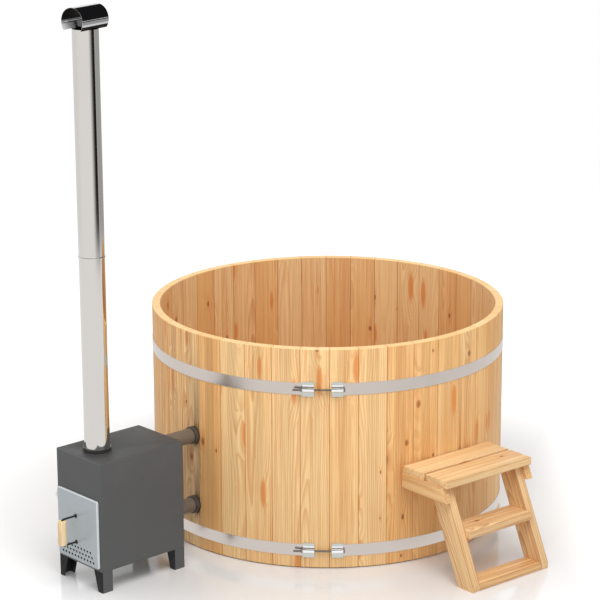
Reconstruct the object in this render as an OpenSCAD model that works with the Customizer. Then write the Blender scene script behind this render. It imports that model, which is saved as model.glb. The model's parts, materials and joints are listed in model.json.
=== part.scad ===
// Round wooden hot tub with an outside wood stove, a two-section flue and a
// pair of steps. The staves stand in a ring, hold the floor in a groove cut
// near their feet and are drawn together by two steel hoops.
//
// Frame: the origin is on the ground at the tub's axis, +Z is up, the stove
// stands towards -X and the steps are near -Y.

/* [Tub wall] */
// Outer diameter of the ring of staves
tub_d = 1800; // [1500:10:2200]
// Height of the rim above the ground
tub_h = 1118; // [900:1:1250]
// Thickness of a stave
stave_t = 42; // [36:1:55]
// Width of a stave at the outside
stave_w = 141.4; // [120:0.1:160]
// Distance of a stave joint from the pipes, as a share of a stave's width
joint_share = 0.31; // [0.3:0.01:0.7]
// Gap left between two staves
stave_gap = 0.4; // [0.3:0.1:1]
// Width of the tongue on a stave's edge
tongue_w = 10; // [8:1:14]
// Height of the tongue
tongue_l = 7; // [4:1:10]
// Narrowing of each flank of the tongue towards its tip
tongue_taper = 1.5; // [0.5:0.5:2.5]
// Play of a tongue in its groove
tongue_play = 0.4; // [0.3:0.1:1]
// Bevel on the outer edges of a stave
stave_arris = 2; // [1:0.5:4]
// Bevel on both edges of the rim
rim_arris = 3; // [1:0.5:6]
// Height of the stave feet above the ground
foot_gap = 6; // [2:1:20]

/* [Tub floor] */
// Thickness of a floor board
floor_t = 38; // [28:1:50]
// Number of floor boards
floor_count = 12; // [10:1:16]
// Gap left between two floor boards
floor_gap = 0.5; // [0.3:0.1:2]
// Depth of the groove that holds the floor
croze_l = 12; // [8:1:16]
// Play of the floor in its groove, above it and at its edge
croze_play = 0.5; // [0.3:0.1:1]
// Width of a bearer under the floor
bearer_w = 70; // [45:5:120]
// Height of a bearer
bearer_h = 62; // [50:1:100]
// Distance of an outer bearer from the middle one
bearer_pitch = 520; // [400:10:600]

/* [Hoops] */
// Width of a hoop band
band_w = 60; // [40:1:80]
// Thickness of a hoop band
band_t = 1.5; // [1:0.1:3]
// Gap between the band and the staves
band_play = 0.2; // [0.1:0.1:0.5]
// Height of the upper hoop's middle line
upper_hoop_z = 919; // [700:1:1000]
// Height of the lower hoop's middle line
lower_hoop_z = 95; // [80:1:300]
// Direction of the hoops' open ends from +X, in degrees
hoop_turn = -134.2; // [-179:0.1:-100]
// Bare wood between the two lugs of a hoop
lug_space = 84; // [60:1:140]
// Length of a lug along the band
lug_l = 57; // [40:1:80]
// Height of a lug
lug_h = 74; // [60:1:90]
// Thickness of a lug's plate
lug_t = 2.5; // [1.5:0.1:4]
// Outer diameter of the tunnel pressed into a lug
tunnel_d = 23; // [19:0.5:30]
// Diameter of a tension bolt
bolt_d = 10; // [8:1:12]
// Play of a bolt in its tunnel
bolt_play = 0.6; // [0.3:0.1:1.5]
// Distance of a bolt's axis from the outer face of the staves
bolt_off = 13; // [12:0.5:20]
// Width of a bolt's head and nut across their corners
hex_w = 18.5; // [16:0.5:24]
// Thickness of a bolt's head
hex_h = 6.5; // [5:0.5:9]
// Thickness of a nut
nut_h = 8; // [6:0.5:12]
// Thickness of a washer under a head or a nut
washer_t = 2; // [1:0.5:3]
// Diameter of a washer
washer_d = 21; // [18:0.5:26]
// Length of bolt that stands out past its nut
bolt_tail = 36; // [10:1:60]

/* [Bench] */
// Height of the bench top above the ground
bench_z = 470; // [380:5:560]
// Thickness of a bench slat
slat_t = 28; // [22:1:38]
// Width of a bench slat
slat_w = 92; // [80:1:110]
// Gap between two bench slats
slat_gap = 8; // [5:1:15]
// Number of slats in each side of the bench
slat_rows = 4; // [3:1:4]
// Gap between the bench and the staves
bench_play = 8; // [4:1:20]
// Gap between two sides of the bench
bench_joint = 5; // [3:1:12]
// Width of an arm or post under the bench
post_w = 45; // [36:1:60]
// Height of an arm under the bench
arm_h = 68; // [50:1:90]
// Depth of a post
post_l = 68; // [45:1:90]
// Length of a block on the wall, in the middle of a side
block_l = 420; // [200:10:520]
// Depth of the outer slats' bearing on that block and on the arms
block_bite = 36; // [20:1:60]

/* [Drain] */
// Distance of the drain from the tub's axis, along Y
drain_y = 240; // [150:5:400]
// Bore of the drain
drain_bore = 42; // [36:1:50]
// Wall of the drain's tail
drain_wall = 5; // [4:0.5:6]
// Diameter of the drain's flange
drain_flange_d = 84; // [76:1:96]
// Thickness of the drain's flange
drain_flange_t = 3; // [2:0.5:5]
// Thickness of the drain's gasket
drain_gasket_t = 2; // [1:0.5:3]
// Length of tail below the floor
drain_tail = 44; // [32:1:52]
// Length of the plain end of the tail, for a hose
hose_end_l = 24; // [15:1:30]
// Step from the plain end to the thread
drain_step = 1.5; // [1:0.5:3]
// Thickness of the back nut under the floor
back_nut_h = 12; // [8:1:16]
// Width of the back nut across its corners
back_nut_w = 74; // [66:1:80]
// Play of the drain in the floor, and of the plug in the drain
drain_play = 0.5; // [0.3:0.1:1]
// Depth of the plug in the drain
plug_l = 24; // [15:1:30]
// Narrowing of the plug's radius towards its foot
plug_taper = 1.6; // [0.5:0.1:3]
// Rim of the plug that rests on the drain's flange
plug_rim = 5; // [3:0.5:8]
// Height of the plug's rim
plug_rim_h = 5; // [3:0.5:8]
// Diameter of the plug's lifting ring
pull_ring_d = 30; // [24:1:36]
// Thickness of the lifting ring
pull_ring_t = 4; // [3:0.5:6]

/* [Water pipes] */
// Outer diameter of a water pipe
pipe_d = 76; // [60:1:84]
// Wall of a water pipe
pipe_t = 3; // [2:0.5:5]
// Height of the upper pipe's axis
pipe_top_z = 593; // [570:1:600]
// Height of the lower pipe's axis
pipe_low_z = 230; // [210:1:300]
// Length of pipe that stands into the tub
pipe_in = 24; // [16:1:40]
// Length of pipe that stands into the stove
pipe_root = 12; // [8:1:20]
// Play of a pipe in the staves
pipe_play = 0.5; // [0.3:0.1:1]
// Outer diameter of the collars and gaskets on a pipe
collar_d = 88; // [86:1:100]
// Length of the collar outside the tub
collar_l = 21; // [15:1:35]
// Length of the collar at the back of the stove
stove_collar_l = 20; // [15:1:30]
// Length of the collar inside the tub
inner_collar_l = 14; // [10:1:20]
// Thickness of a pipe gasket
pipe_gasket_t = 5; // [3:0.5:6]

/* [Stove body] */
// Gap between the stove and the tub
stove_gap = 210; // [180:5:300]
// Length of the casing, from its back to its front
stove_l = 505; // [460:5:600]
// Width of the casing
stove_w = 342; // [330:1:380]
// Height of the casing
casing_h = 545; // [540:1:600]
// Thickness of the casing's sheet
casing_t = 3; // [2:0.5:5]
// Radius of the casing's folded edges
casing_r = 7; // [5:0.5:12]
// Height of the legs
leg_h = 106; // [90:1:120]
// Width of a leg's web on the side of the stove
leg_side_w = 64; // [50:1:80]
// Width of a leg's two flanges at their top
leg_top_w = 66; // [55:1:80]
// Width of those flanges at the ground
leg_foot_w = 36; // [25:1:50]
// Distance from the casing's side to the inside of the firebox
fire_side = 36; // [32:1:42]
// Length of the firebox, inside
fire_l = 400; // [360:5:420]
// Height of the firebox, inside
fire_h = 372; // [355:1:380]
// Height of the firebox floor above the casing's underside
fire_lift = 30; // [24:1:36]
// Thickness of the firebox plate
fire_t = 4; // [3:0.5:6]
// Height of the firebox mouth
mouth_h = 300; // [280:1:310]
// Length of the baffle over the fire
baffle_l = 300; // [200:5:320]
// Width of a grate bar
bar_w = 12; // [8:1:16]
// Height of a grate bar
bar_h = 16; // [10:1:22]
// Number of grate bars
bar_count = 10; // [7:1:12]
// Height of the grate's underside above the firebox floor
grate_lift = 56; // [50:1:70]
// Gap round the grate
grate_play = 4; // [2:1:8]
// Width of the ledges under the grate
grate_ledge = 16; // [12:1:20]
// Distance from the ash pan to the inside of the firebox
pan_side = 19; // [18:1:30]
// Length of the ash pan
pan_l = 370; // [300:5:380]
// Height of the ash pan
pan_h = 40; // [30:1:44]
// Thickness of the ash pan's sheet
pan_t = 2; // [1.5:0.5:3]

/* [Stove door] */
// Width of casing left free beside the door
door_side = 16; // [13:1:20]
// Height of the door
door_h = 341; // [335:1:350]
// Height of the door's lower edge above the casing's underside
door_lift = 14; // [10:1:18]
// Depth of the door's folded edges
door_l = 12; // [9:1:16]
// Thickness of the door's sheet
door_t = 2; // [1.5:0.5:4]
// Radius of the door's corners
door_r = 9; // [5:1:14]
// Bevel on the door's front edges
door_arris = 3; // [1:0.5:5]
// Gap between the closed door and the casing
door_gap = 1; // [0.5:0.5:2]
// Diameter of an air hole in the door
air_d = 13; // [6:0.5:15]
// Distance between two air holes in a row
air_pitch = 24; // [20:1:26]
// Distance between two rows of air holes
air_row_pitch = 23; // [20:1:26]
// Height of the lowest row above the door's lower edge
air_z = 24; // [20:1:30]
// Number of air holes in the lowest row
air_count = 11; // [8:1:11]
// Number of rows, each one hole shorter than the row below
air_rows = 3; // [2:1:3]
// Diameter of the handle's bar
handle_d = 10; // [8:1:14]
// Distance between the handle's two arms
handle_h = 133; // [110:1:150]
// Distance of the grip's axis from the door
handle_reach = 82; // [65:1:100]
// Height of the handle's middle above the door's lower edge
handle_z = 163; // [155:1:190]
// Place of the handle across the door
handle_y = 11; // [-20:1:40]
// Diameter of the wooden grip
grip_d = 42; // [30:1:48]
// Distance of the liner behind the door's face, and thickness of its plate
liner_t = 2; // [1.5:0.5:3]
// Border of the door left free around the liner
liner_border = 16; // [12:1:24]
// Diameter of the hinge pins
pin_d = 5; // [4:0.5:6]
// Play of a hinge pin in its knuckle, on its radius
pin_play = 0.05; // [0.02:0.01:0.08]
// Wall of a hinge knuckle
knuckle_t = 2.4; // [1.8:0.1:4]
// Length of a knuckle
knuckle_h = 15; // [10:1:24]
// Gap between two knuckles
knuckle_gap = 0.5; // [0.3:0.1:1]
// Distance of a hinge's middle from the door's upper or lower edge
hinge_inset = 50; // [35:1:80]

/* [Chimney] */
// Outer diameter of the flue pipes
flue_d = 123; // [115:1:126]
// Wall of the flue pipes
flue_t = 1; // [0.8:0.1:2]
// Distance of the flue's axis behind the front of the stove
flue_back = 118; // [100:1:180]
// Outer diameter of the collar on the stove
socket_d = 136; // [134:1:150]
// Height of the collar above the casing
socket_h = 22; // [15:1:35]
// Depth at which the flue rests in its collar
socket_l = 38; // [25:1:60]
// Play of the flue in its collar
socket_play = 0.6; // [0.3:0.1:1]
// Height of the joint between the two flue pipes above the ground
flue_joint_z = 1607; // [1300:1:1800]
// Height of the flue's mouth above the ground
flue_top_z = 2676; // [2200:1:3000]
// Length of the upper pipe's narrowed end in the lower pipe
spigot_l = 50; // [30:1:80]
// Play of the narrowed end, on its radius
spigot_play = 0.2; // [0.1:0.1:0.4]
// Radius of the bead rolled round the upper pipe at the joint
bead_r = 1.6; // [1:0.1:3]
// Outer diameter of the rolled cap
cap_d = 129; // [126:1:140]
// Length of the cap
cap_l = 180; // [150:1:240]
// Thickness of the cap's sheet
cap_t = 1.5; // [1:0.1:2.5]
// Height of the cap's axis above the flue's mouth
cap_rise = 40; // [34:1:48]
// Turn of the cap from the stove's long axis, in degrees
cap_turn = 12; // [-30:1:30]
// Width of the straps that hold the cap
strap_w = 18; // [12:1:30]
// Thickness of those straps
strap_t = 1.5; // [1:0.1:2.5]
// Gap between a strap and the sheets it is riveted to
strap_play = 0.1; // [0.05:0.05:0.3]
// Length of a strap in the flue
strap_root = 30; // [20:1:50]
// Diameter of a rivet head
rivet_d = 7; // [5:0.5:10]
// Height of a rivet head
rivet_h = 1.6; // [1:0.1:2.5]

/* [Steps] */
// Direction of the steps from +X, in degrees
steps_turn = -92.7; // [-110:0.1:-60]
// Height of the top boards above the ground
step_h = 523; // [460:1:600]
// Thickness of the boards, brackets and bottom bar
step_t = 38; // [28:1:45]
// Width of a board
step_w = 148; // [120:1:170]
// Gap between the two top boards
step_gap = 12; // [6:1:20]
// Length of the top boards
step_l = 564; // [480:1:700]
// Gap between the rear board and the tub
step_wall_gap = 5; // [3:1:15]
// Distance between the legs, inside
step_inner_w = 412; // [360:1:480]
// Thickness of a leg
step_leg_t = 46; // [36:1:60]
// Depth of a leg, level with the ground
step_leg_l = 116; // [90:1:140]
// Slope of the legs from upright, in degrees
step_slope = 24.3; // [15:0.1:30]
// Distance of the legs' front foot from the tub
step_reach = 485; // [420:1:560]
// Upright toe at the front of a leg's foot
step_toe = 13; // [5:1:20]
// Height of the tread above the ground
tread_h = 278; // [220:1:320]
// Height of the brackets
bracket_h = 71; // [50:1:90]
// Length of bracket in front of a leg
bracket_nose = 18; // [5:1:30]
// Height of the ledger on the tub's wall
ledger_h = 90; // [60:1:120]
// Thickness of the ledger in front of the tub
ledger_t = 40; // [30:1:60]
// Width and height of a cleat under the tread
cleat_w = 24; // [18:1:36]
// Diameter of the ledger's coach screws
screw_d = 8; // [6:1:12]
// Length of screw in a stave
screw_bite = 28; // [20:1:34]
// Play of the coach screws in the wood
screw_play = 0.3; // [0.2:0.1:0.5]

/* [Hidden] */

$fn = 96;
// Overrun of every cut past the faces it opens
over = 2;

tub_r = tub_d / 2;
wall_in_r = tub_r - stave_t;
stave_count = round(PI * tub_d / stave_w);
stave_angle = 360 / stave_count;
floor_z = bearer_h;
floor_top = floor_z + floor_t;
croze_r = wall_in_r + croze_l;
floor_r = croze_r - croze_play;

band_in_r = tub_r + band_play;
band_out_r = band_in_r + band_t;
bolt_x = tub_r + bolt_off;
lug_mid_y = (lug_space + lug_l) / 2;
band_half_gap = asin(lug_space / 2 / band_in_r);

floor_board_w = 2 * floor_r / floor_count;
drain_x = floor_board_w / 2;
drain_r = drain_bore / 2;
drain_tail_r = drain_r + drain_wall;
drain_flange_z = floor_top + drain_gasket_t;
drain_top = drain_flange_z + drain_flange_t;

pipe_r = pipe_d / 2;
collar_r = collar_d / 2;
pipe_zs = [pipe_low_z, pipe_top_z];

stove_back = tub_r + stove_gap;
stove_front = stove_back + stove_l;
casing_top = leg_h + casing_h;
fire_w = stove_w - 2 * fire_side;
pan_w = fire_w - 2 * pan_side;
door_w = stove_w - 2 * door_side;
fire_z = leg_h + fire_lift;
mouth_top = fire_z + mouth_h;
fire_back = stove_front - casing_t - fire_l;

flue_x = stove_front - flue_back;
flue_r = flue_d / 2;
flue_foot_z = casing_top - socket_l;
socket_in_r = flue_r + socket_play;
socket_foot_z = fire_z + fire_h + fire_t;

door_x = stove_front + door_gap;
door_face_x = door_x + door_l;
door_z = leg_h + door_lift;
door_back_x = door_face_x - door_t;
pin_r = pin_d / 2;
knuckle_r = pin_r + knuckle_t;
pin_x = stove_front - knuckle_r - door_gap;
pin_y = stove_w / 2 + knuckle_r + knuckle_gap;
leaf_t = knuckle_t;
hinge_zs = [door_z + hinge_inset, door_z + door_h - hinge_inset];

cap_r = cap_d / 2;
cap_z = flue_top_z + cap_rise;
cap_lip = asin(cap_rise / cap_r);

// A flat strap in the round flue touches it along its edges
strap_y = sqrt(pow(flue_r - flue_t, 2) - pow(strap_w / 2, 2)) - strap_play;
strap_r = cap_r - cap_t - strap_play;
// A flat rivet head in the round cap touches the strap along its edges
cap_rivet_r = sqrt(pow(strap_r - strap_t, 2) - pow(rivet_d / 2, 2));

step_rear = tub_r + step_wall_gap;
step_board_z = step_h - step_t;
step_front_foot = tub_r + step_reach;
step_run = tan(step_slope);
step_leg_in = step_inner_w / 2;
step_leg_out = step_leg_in + step_leg_t;

wood = "burlywood";
dark_steel = "dimgray";
bright_steel = "silver";

// A rectangle with round corners
module round_rect(a, b, r) {
    square([a - 2 * r, b], center = true);
    square([a, b - 2 * r], center = true);
    for (x = [-1, 1], y = [-1, 1])
        translate([x * (a / 2 - r), y * (b / 2 - r)]) circle(r = r);
}

// A box with every edge rounded, on its base and centred in X and Y
module soft_box(l, w, h, r) {
    translate([0, 0, h / 2]) intersection() {
        linear_extrude(h, center = true) round_rect(l, w, r);
        rotate([90, 0, 0]) linear_extrude(w, center = true) round_rect(l, h, r);
        rotate([90, 0, 90]) linear_extrude(l, center = true) round_rect(w, h, r);
    }
}

// A box given by its lowest and highest corners
module span_box(low, high) {
    translate(low) cube(high - low);
}

// A round bar or hole along X, from x0 to x1
module bar_x(x0, x1, r) {
    translate([x0, 0, 0]) rotate([0, 90, 0]) cylinder(h = x1 - x0, r = r);
}

// A round bar or hole along Y, from y0 to y1
module bar_y(y0, y1, r) {
    translate([0, y0, 0]) rotate([-90, 0, 0]) cylinder(h = y1 - y0, r = r);
}

// The half-profile of the stave wall, turned into a ring
module wall_ring() {
    rotate_extrude($fn = 180) polygon([
        [tub_r, foot_gap],
        [tub_r, tub_h - rim_arris],
        [tub_r - rim_arris, tub_h],
        [wall_in_r + rim_arris, tub_h],
        [wall_in_r, tub_h - rim_arris],
        [wall_in_r, floor_top + croze_play],
        [croze_r, floor_top + croze_play],
        [croze_r, floor_z],
        [wall_in_r, floor_z],
        [wall_in_r, foot_gap]
    ]);
}

// A point at a radius on the joint beside a stave, moved out of the stave by off
function joint_point(side, r, off) =
    let (a = side * stave_angle / 2)
    [r * cos(a) - side * off * sin(a), r * sin(a) + side * off * cos(a)];

// The plan of one stave: a tongue on one edge, a groove on the other
module stave_plan() {
    mid = (tub_r + wall_in_r) / 2;
    g = -stave_gap / 2;
    half = tongue_w / 2;
    tip = half - tongue_taper;
    tongue_edge = [
        [wall_in_r - over, g], [mid - half, g], [mid - tip, g + tongue_l],
        [mid + tip, g + tongue_l], [mid + half, g], [tub_r - stave_arris, g],
        [tub_r + over, g - stave_arris - over]
    ];
    groove_edge = [
        [tub_r + over, g - stave_arris - over], [tub_r - stave_arris, g],
        [mid + half + tongue_play, g],
        [mid + tip + tongue_play, g - tongue_l - tongue_play],
        [mid - tip - tongue_play, g - tongue_l - tongue_play],
        [mid - half - tongue_play, g], [wall_in_r - over, g]
    ];
    polygon(concat(
        [for (p = tongue_edge) joint_point(1, p[0], p[1])],
        [for (p = groove_edge) joint_point(-1, p[0], p[1])]
    ));
}

module staves() {
    color(wood) difference() {
        for (i = [0 : stave_count - 1])
            intersection() {
                wall_ring();
                rotate([0, 0, 180 + (i + joint_share - 0.5) * stave_angle])
                    linear_extrude(tub_h + over) stave_plan();
            }
        for (z = pipe_zs)
            translate([0, 0, z]) bar_x(-tub_r - over, -wall_in_r + over, pipe_r + pipe_play);
        ledger_screw_places() bar_x(tub_r - screw_bite - over, tub_r + over, screw_d / 2 + screw_play);
    }
}

module floor_boards() {
    color(wood) difference() {
        for (i = [0 : floor_count - 1])
            intersection() {
                translate([0, 0, floor_z]) cylinder(h = floor_t, r = floor_r, $fn = 180);
                span_box([-floor_r + i * floor_board_w + floor_gap / 2, -floor_r, floor_z],
                         [-floor_r + (i + 1) * floor_board_w - floor_gap / 2, floor_r, floor_top]);
            }
        translate([drain_x, drain_y, 0])
            cylinder(h = floor_top + over, r = drain_tail_r + drain_play);
    }
}

module floor_bearers() {
    color(wood) for (i = [-1, 0, 1]) {
        reach = sqrt(pow(wall_in_r - croze_play, 2) - pow(abs(i) * bearer_pitch + bearer_w / 2, 2));
        translate([0, i * bearer_pitch, bearer_h / 2])
            cube([2 * reach, bearer_w, bearer_h], center = true);
    }
}

// One band, open between its lugs
module hoop_band(z) {
    color(bright_steel) rotate([0, 0, hoop_turn + band_half_gap])
        rotate_extrude(angle = 360 - 2 * band_half_gap, $fn = 180)
            translate([band_in_r, z - band_w / 2]) square([band_t, band_w]);
}

module upper_hoop_band() { hoop_band(upper_hoop_z); }
module lower_hoop_band() { hoop_band(lower_hoop_z); }

// Each child stands where a hoop's open ends are, with +X out of the tub
module at_hoop_ends() {
    for (z = [upper_hoop_z, lower_hoop_z])
        rotate([0, 0, hoop_turn]) translate([0, 0, z]) children();
}

// A pressed plate that lies on the band, with a tunnel for the bolt
module hoop_lug(side) {
    tunnel_r = tunnel_d / 2;
    difference() {
        union() {
            intersection() {
                difference() {
                    cylinder(h = lug_h, r = band_out_r + lug_t, center = true, $fn = 180);
                    cylinder(h = lug_h + over, r = band_out_r, center = true, $fn = 180);
                }
                translate([tub_r, side * lug_mid_y, 0])
                    rotate([90, 0, 90]) linear_extrude(stave_t, center = true)
                        round_rect(lug_l, lug_h, lug_t);
            }
            translate([bolt_x, side * lug_mid_y, 0]) bar_y(-lug_l / 2, lug_l / 2, tunnel_r);
            translate([bolt_x - bolt_off / 2, side * lug_mid_y, 0])
                cube([bolt_off, lug_l, tunnel_d], center = true);
        }
        cylinder(h = lug_h, r = band_out_r, center = true, $fn = 180);
        translate([bolt_x, side * lug_mid_y, 0])
            bar_y(-lug_l / 2 - over, lug_l / 2 + over, bolt_d / 2 + bolt_play);
    }
}

module hoop_lugs() {
    color(bright_steel) at_hoop_ends() for (side = [-1, 1]) hoop_lug(side);
}

lug_end_y = lug_mid_y + lug_l / 2;

module hoop_bolts() {
    color(dark_steel) at_hoop_ends() translate([bolt_x, 0, 0]) {
        bar_y(-lug_end_y - washer_t - nut_h - bolt_tail, lug_end_y + washer_t, bolt_d / 2);
        rotate([-90, 0, 0]) translate([0, 0, lug_end_y + washer_t])
            cylinder(h = hex_h, d = hex_w, $fn = 6);
    }
}

module hoop_nuts() {
    color(bright_steel) at_hoop_ends() translate([bolt_x, -lug_end_y - washer_t - nut_h, 0])
        rotate([-90, 0, 0]) difference() {
            cylinder(h = nut_h, d = hex_w, $fn = 6);
            translate([0, 0, -over]) cylinder(h = nut_h + 2 * over, d = bolt_d);
        }
}

module hoop_washers() {
    color(bright_steel) at_hoop_ends()
        for (y = [-lug_end_y - washer_t, lug_end_y])
            translate([bolt_x, 0, 0]) difference() {
                bar_y(y, y + washer_t, washer_d / 2);
                bar_y(y - over, y + washer_t + over, bolt_d / 2 + bolt_play);
            }
}

bench_out_r = wall_in_r - bench_play;
bench_in = bench_out_r - slat_rows * slat_w - (slat_rows - 1) * slat_gap;
bench_sides = 6;
bench_half = 180 / bench_sides;
slat_z = bench_z - slat_t;
arm_z = slat_z - arm_h;
// Where an arm starts, past the corner of the inner slats
arm_in = bench_in / cos(bench_half) + slat_gap;

// The bench leaves the side open where the water pipes come in
module bench_slats() {
    color(wood) for (s = [1 : bench_sides - 1])
        rotate([0, 0, 180 + s * 2 * bench_half])
            for (row = [0 : slat_rows - 1]) {
                low = bench_in + row * (slat_w + slat_gap);
                intersection() {
                    translate([0, 0, slat_z]) cylinder(h = slat_t, r = bench_out_r, $fn = 180);
                    linear_extrude(bench_z + over) polygon([
                        [low, -low * tan(bench_half) + bench_joint / 2],
                        [low + slat_w, -(low + slat_w) * tan(bench_half) + bench_joint / 2],
                        [low + slat_w, (low + slat_w) * tan(bench_half) - bench_joint / 2],
                        [low, low * tan(bench_half) - bench_joint / 2]
                    ]);
                }
            }
}

// Each child stands on a line where two sides of the bench meet
module at_bench_joints() {
    for (s = [0 : bench_sides - 1])
        rotate([0, 0, 180 + (2 * s + 1) * bench_half]) children();
}

module bench_arms() {
    color(wood) at_bench_joints() intersection() {
        span_box([arm_in, -post_w / 2, arm_z], [bench_out_r, post_w / 2, slat_z]);
        translate([0, 0, arm_z]) cylinder(h = arm_h, r = bench_out_r, $fn = 180);
    }
}

module bench_posts() {
    color(wood) at_bench_joints()
        for (x = [arm_in, bench_out_r - post_l - stave_arris])
            span_box([x, -post_w / 2, floor_top], [x + post_l, post_w / 2, arm_z]);
}

// A block on the wall under the outer slat of each side
module bench_wall_blocks() {
    low = bench_out_r - slat_w - block_bite;
    color(wood) for (s = [1 : bench_sides - 1])
        rotate([0, 0, 180 + s * 2 * bench_half]) intersection() {
            span_box([low, -block_l / 2, arm_z], [wall_in_r, block_l / 2, slat_z]);
            translate([0, 0, arm_z]) cylinder(h = arm_h, r = wall_in_r - band_play, $fn = 720);
        }
}

module drain_body() {
    color(bright_steel) translate([drain_x, drain_y, 0]) difference() {
        union() {
            translate([0, 0, floor_z - drain_tail]) cylinder(h = drain_tail, r = drain_tail_r - drain_step);
            translate([0, 0, floor_z - drain_tail + hose_end_l])
                cylinder(h = drain_flange_z - floor_z + drain_tail - hose_end_l, r = drain_tail_r);
            translate([0, 0, drain_flange_z]) cylinder(h = drain_flange_t, d = drain_flange_d);
        }
        cylinder(h = drain_top + over, r = drain_r);
    }
}

module drain_gasket() {
    color("black") translate([drain_x, drain_y, floor_top]) difference() {
        cylinder(h = drain_gasket_t, d = drain_flange_d);
        translate([0, 0, -over])
            cylinder(h = drain_gasket_t + 2 * over, r = drain_tail_r + drain_play);
    }
}

module drain_back_nut() {
    color(bright_steel) translate([drain_x, drain_y, floor_z - back_nut_h]) difference() {
        cylinder(h = back_nut_h, d = back_nut_w, $fn = 6);
        translate([0, 0, -over]) cylinder(h = back_nut_h + 2 * over, r = drain_tail_r);
    }
}

module drain_plug() {
    plug_r = drain_r - drain_play;
    color("black") translate([drain_x, drain_y, drain_top]) {
        translate([0, 0, -plug_l]) cylinder(h = plug_l, r1 = plug_r - plug_taper, r2 = plug_r);
        cylinder(h = plug_rim_h, r = drain_r + plug_rim);
    }
}

module drain_pull_ring() {
    color(bright_steel)
        translate([drain_x, drain_y, drain_top + plug_rim_h + pull_ring_d / 2])
            rotate([90, 0, 0]) rotate_extrude()
                translate([(pull_ring_d - pull_ring_t) / 2, 0]) circle(d = pull_ring_t, $fn = 24);
}

// Each child stands at a water pipe's axis, and X runs along it
module at_pipes() {
    for (z = pipe_zs) translate([0, 0, z]) children();
}

module water_pipes() {
    color(dark_steel) at_pipes() difference() {
        bar_x(-stove_back - pipe_root, -wall_in_r + pipe_in, pipe_r);
        bar_x(-stove_back - pipe_root - over, -wall_in_r + pipe_in + over, pipe_r - pipe_t);
    }
}

// A ring round a pipe, from x0 to x1
module pipe_ring(x0, x1) {
    difference() {
        bar_x(x0, x1, collar_r);
        bar_x(x0 - over, x1 + over, pipe_r);
    }
}

outer_gasket_x = tub_r + pipe_gasket_t;
// An inner ring has to clear the curve of the wall at its edge
inner_gasket_x = sqrt(pow(wall_in_r, 2) - pow(collar_r, 2)) - pipe_gasket_t;

module outer_collars() {
    color(dark_steel) at_pipes() pipe_ring(-outer_gasket_x - collar_l, -outer_gasket_x);
}

module outer_gaskets() {
    color("black") at_pipes() difference() {
        pipe_ring(-outer_gasket_x, -tub_r + stave_t / 2);
        cylinder(h = 2 * collar_d, r = tub_r + band_play, center = true, $fn = 1440);
    }
}

// A ring that is welded to each pipe at the back of the stove
module stove_collars() {
    color(dark_steel) at_pipes() pipe_ring(-stove_back, -stove_back + stove_collar_l);
}

module inner_collars() {
    color(bright_steel) at_pipes() pipe_ring(-inner_gasket_x, -inner_gasket_x + inner_collar_l);
}

module inner_gaskets() {
    color("black") at_pipes() intersection() {
        pipe_ring(-wall_in_r, -inner_gasket_x);
        cylinder(h = 2 * collar_d, r = wall_in_r - band_play, center = true, $fn = 1440);
    }
}

// The casing's outline, grown inwards by a wall, with square edges at its underside
module casing_block(wall) {
    l = stove_l - 2 * wall;
    w = stove_w - 2 * wall;
    h = casing_h - 2 * wall;
    translate([-(stove_front + stove_back) / 2, 0, leg_h + wall]) intersection() {
        translate([0, 0, -casing_r]) soft_box(l, w, h + casing_r, casing_r - wall);
        span_box([-l, -w, 0], [l, w, h + over]);
    }
}

module stove_casing() {
    color(dark_steel) difference() {
        casing_block(0);
        casing_block(casing_t);
        span_box([-stove_front - over, -fire_w / 2, fire_z],
                 [-stove_front + casing_t + over, fire_w / 2, mouth_top]);
        translate([-flue_x, 0, casing_top - casing_t - over])
            cylinder(h = casing_t + 2 * over, r = socket_d / 2);
        at_pipes() bar_x(-stove_back - casing_t - over, -stove_back + over, pipe_r);
    }
}

module stove_firebox() {
    color(dark_steel) difference() {
        span_box([-stove_front + casing_t, -fire_w / 2 - fire_t, fire_z - fire_t],
                 [-fire_back + fire_t, fire_w / 2 + fire_t, fire_z + fire_h + fire_t]);
        span_box([-stove_front + casing_t - over, -fire_w / 2, fire_z],
                 [-fire_back, fire_w / 2, fire_z + fire_h]);
        translate([-flue_x, 0, fire_z + fire_h - over])
            cylinder(h = fire_t + 2 * over, r = socket_in_r);
    }
}

module firebox_baffle() {
    color(dark_steel)
        span_box([-stove_front + casing_t, -fire_w / 2, mouth_top],
                 [-stove_front + casing_t + baffle_l, fire_w / 2, mouth_top + fire_t]);
}

module grate_ledges() {
    color(dark_steel) for (side = [-1, 1])
        translate([-fire_back, side * fire_w / 2, fire_z + grate_lift]) rotate([0, -90, 0])
            linear_extrude(fire_l - grate_play)
                polygon([[0, 0], [0, -side * grate_ledge], [-fire_t, -side * grate_ledge],
                         [-fire_t, -side * fire_t], [-grate_ledge, -side * fire_t], [-grate_ledge, 0]]);
}

module stove_grate() {
    grate_w = fire_w - 2 * grate_play;
    grate_l = fire_l - 2 * grate_play;
    pitch = (grate_w - bar_w) / (bar_count - 1);
    color("black") translate([-fire_back - grate_play - grate_l, -grate_w / 2, fire_z + grate_lift]) {
        for (i = [0 : bar_count - 1])
            translate([0, i * pitch, 0]) cube([grate_l, bar_w, bar_h]);
        for (x = [0, (grate_l - bar_w) / 2, grate_l - bar_w])
            translate([x, 0, 0]) cube([bar_w, grate_w, bar_h / 2]);
    }
}

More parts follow.
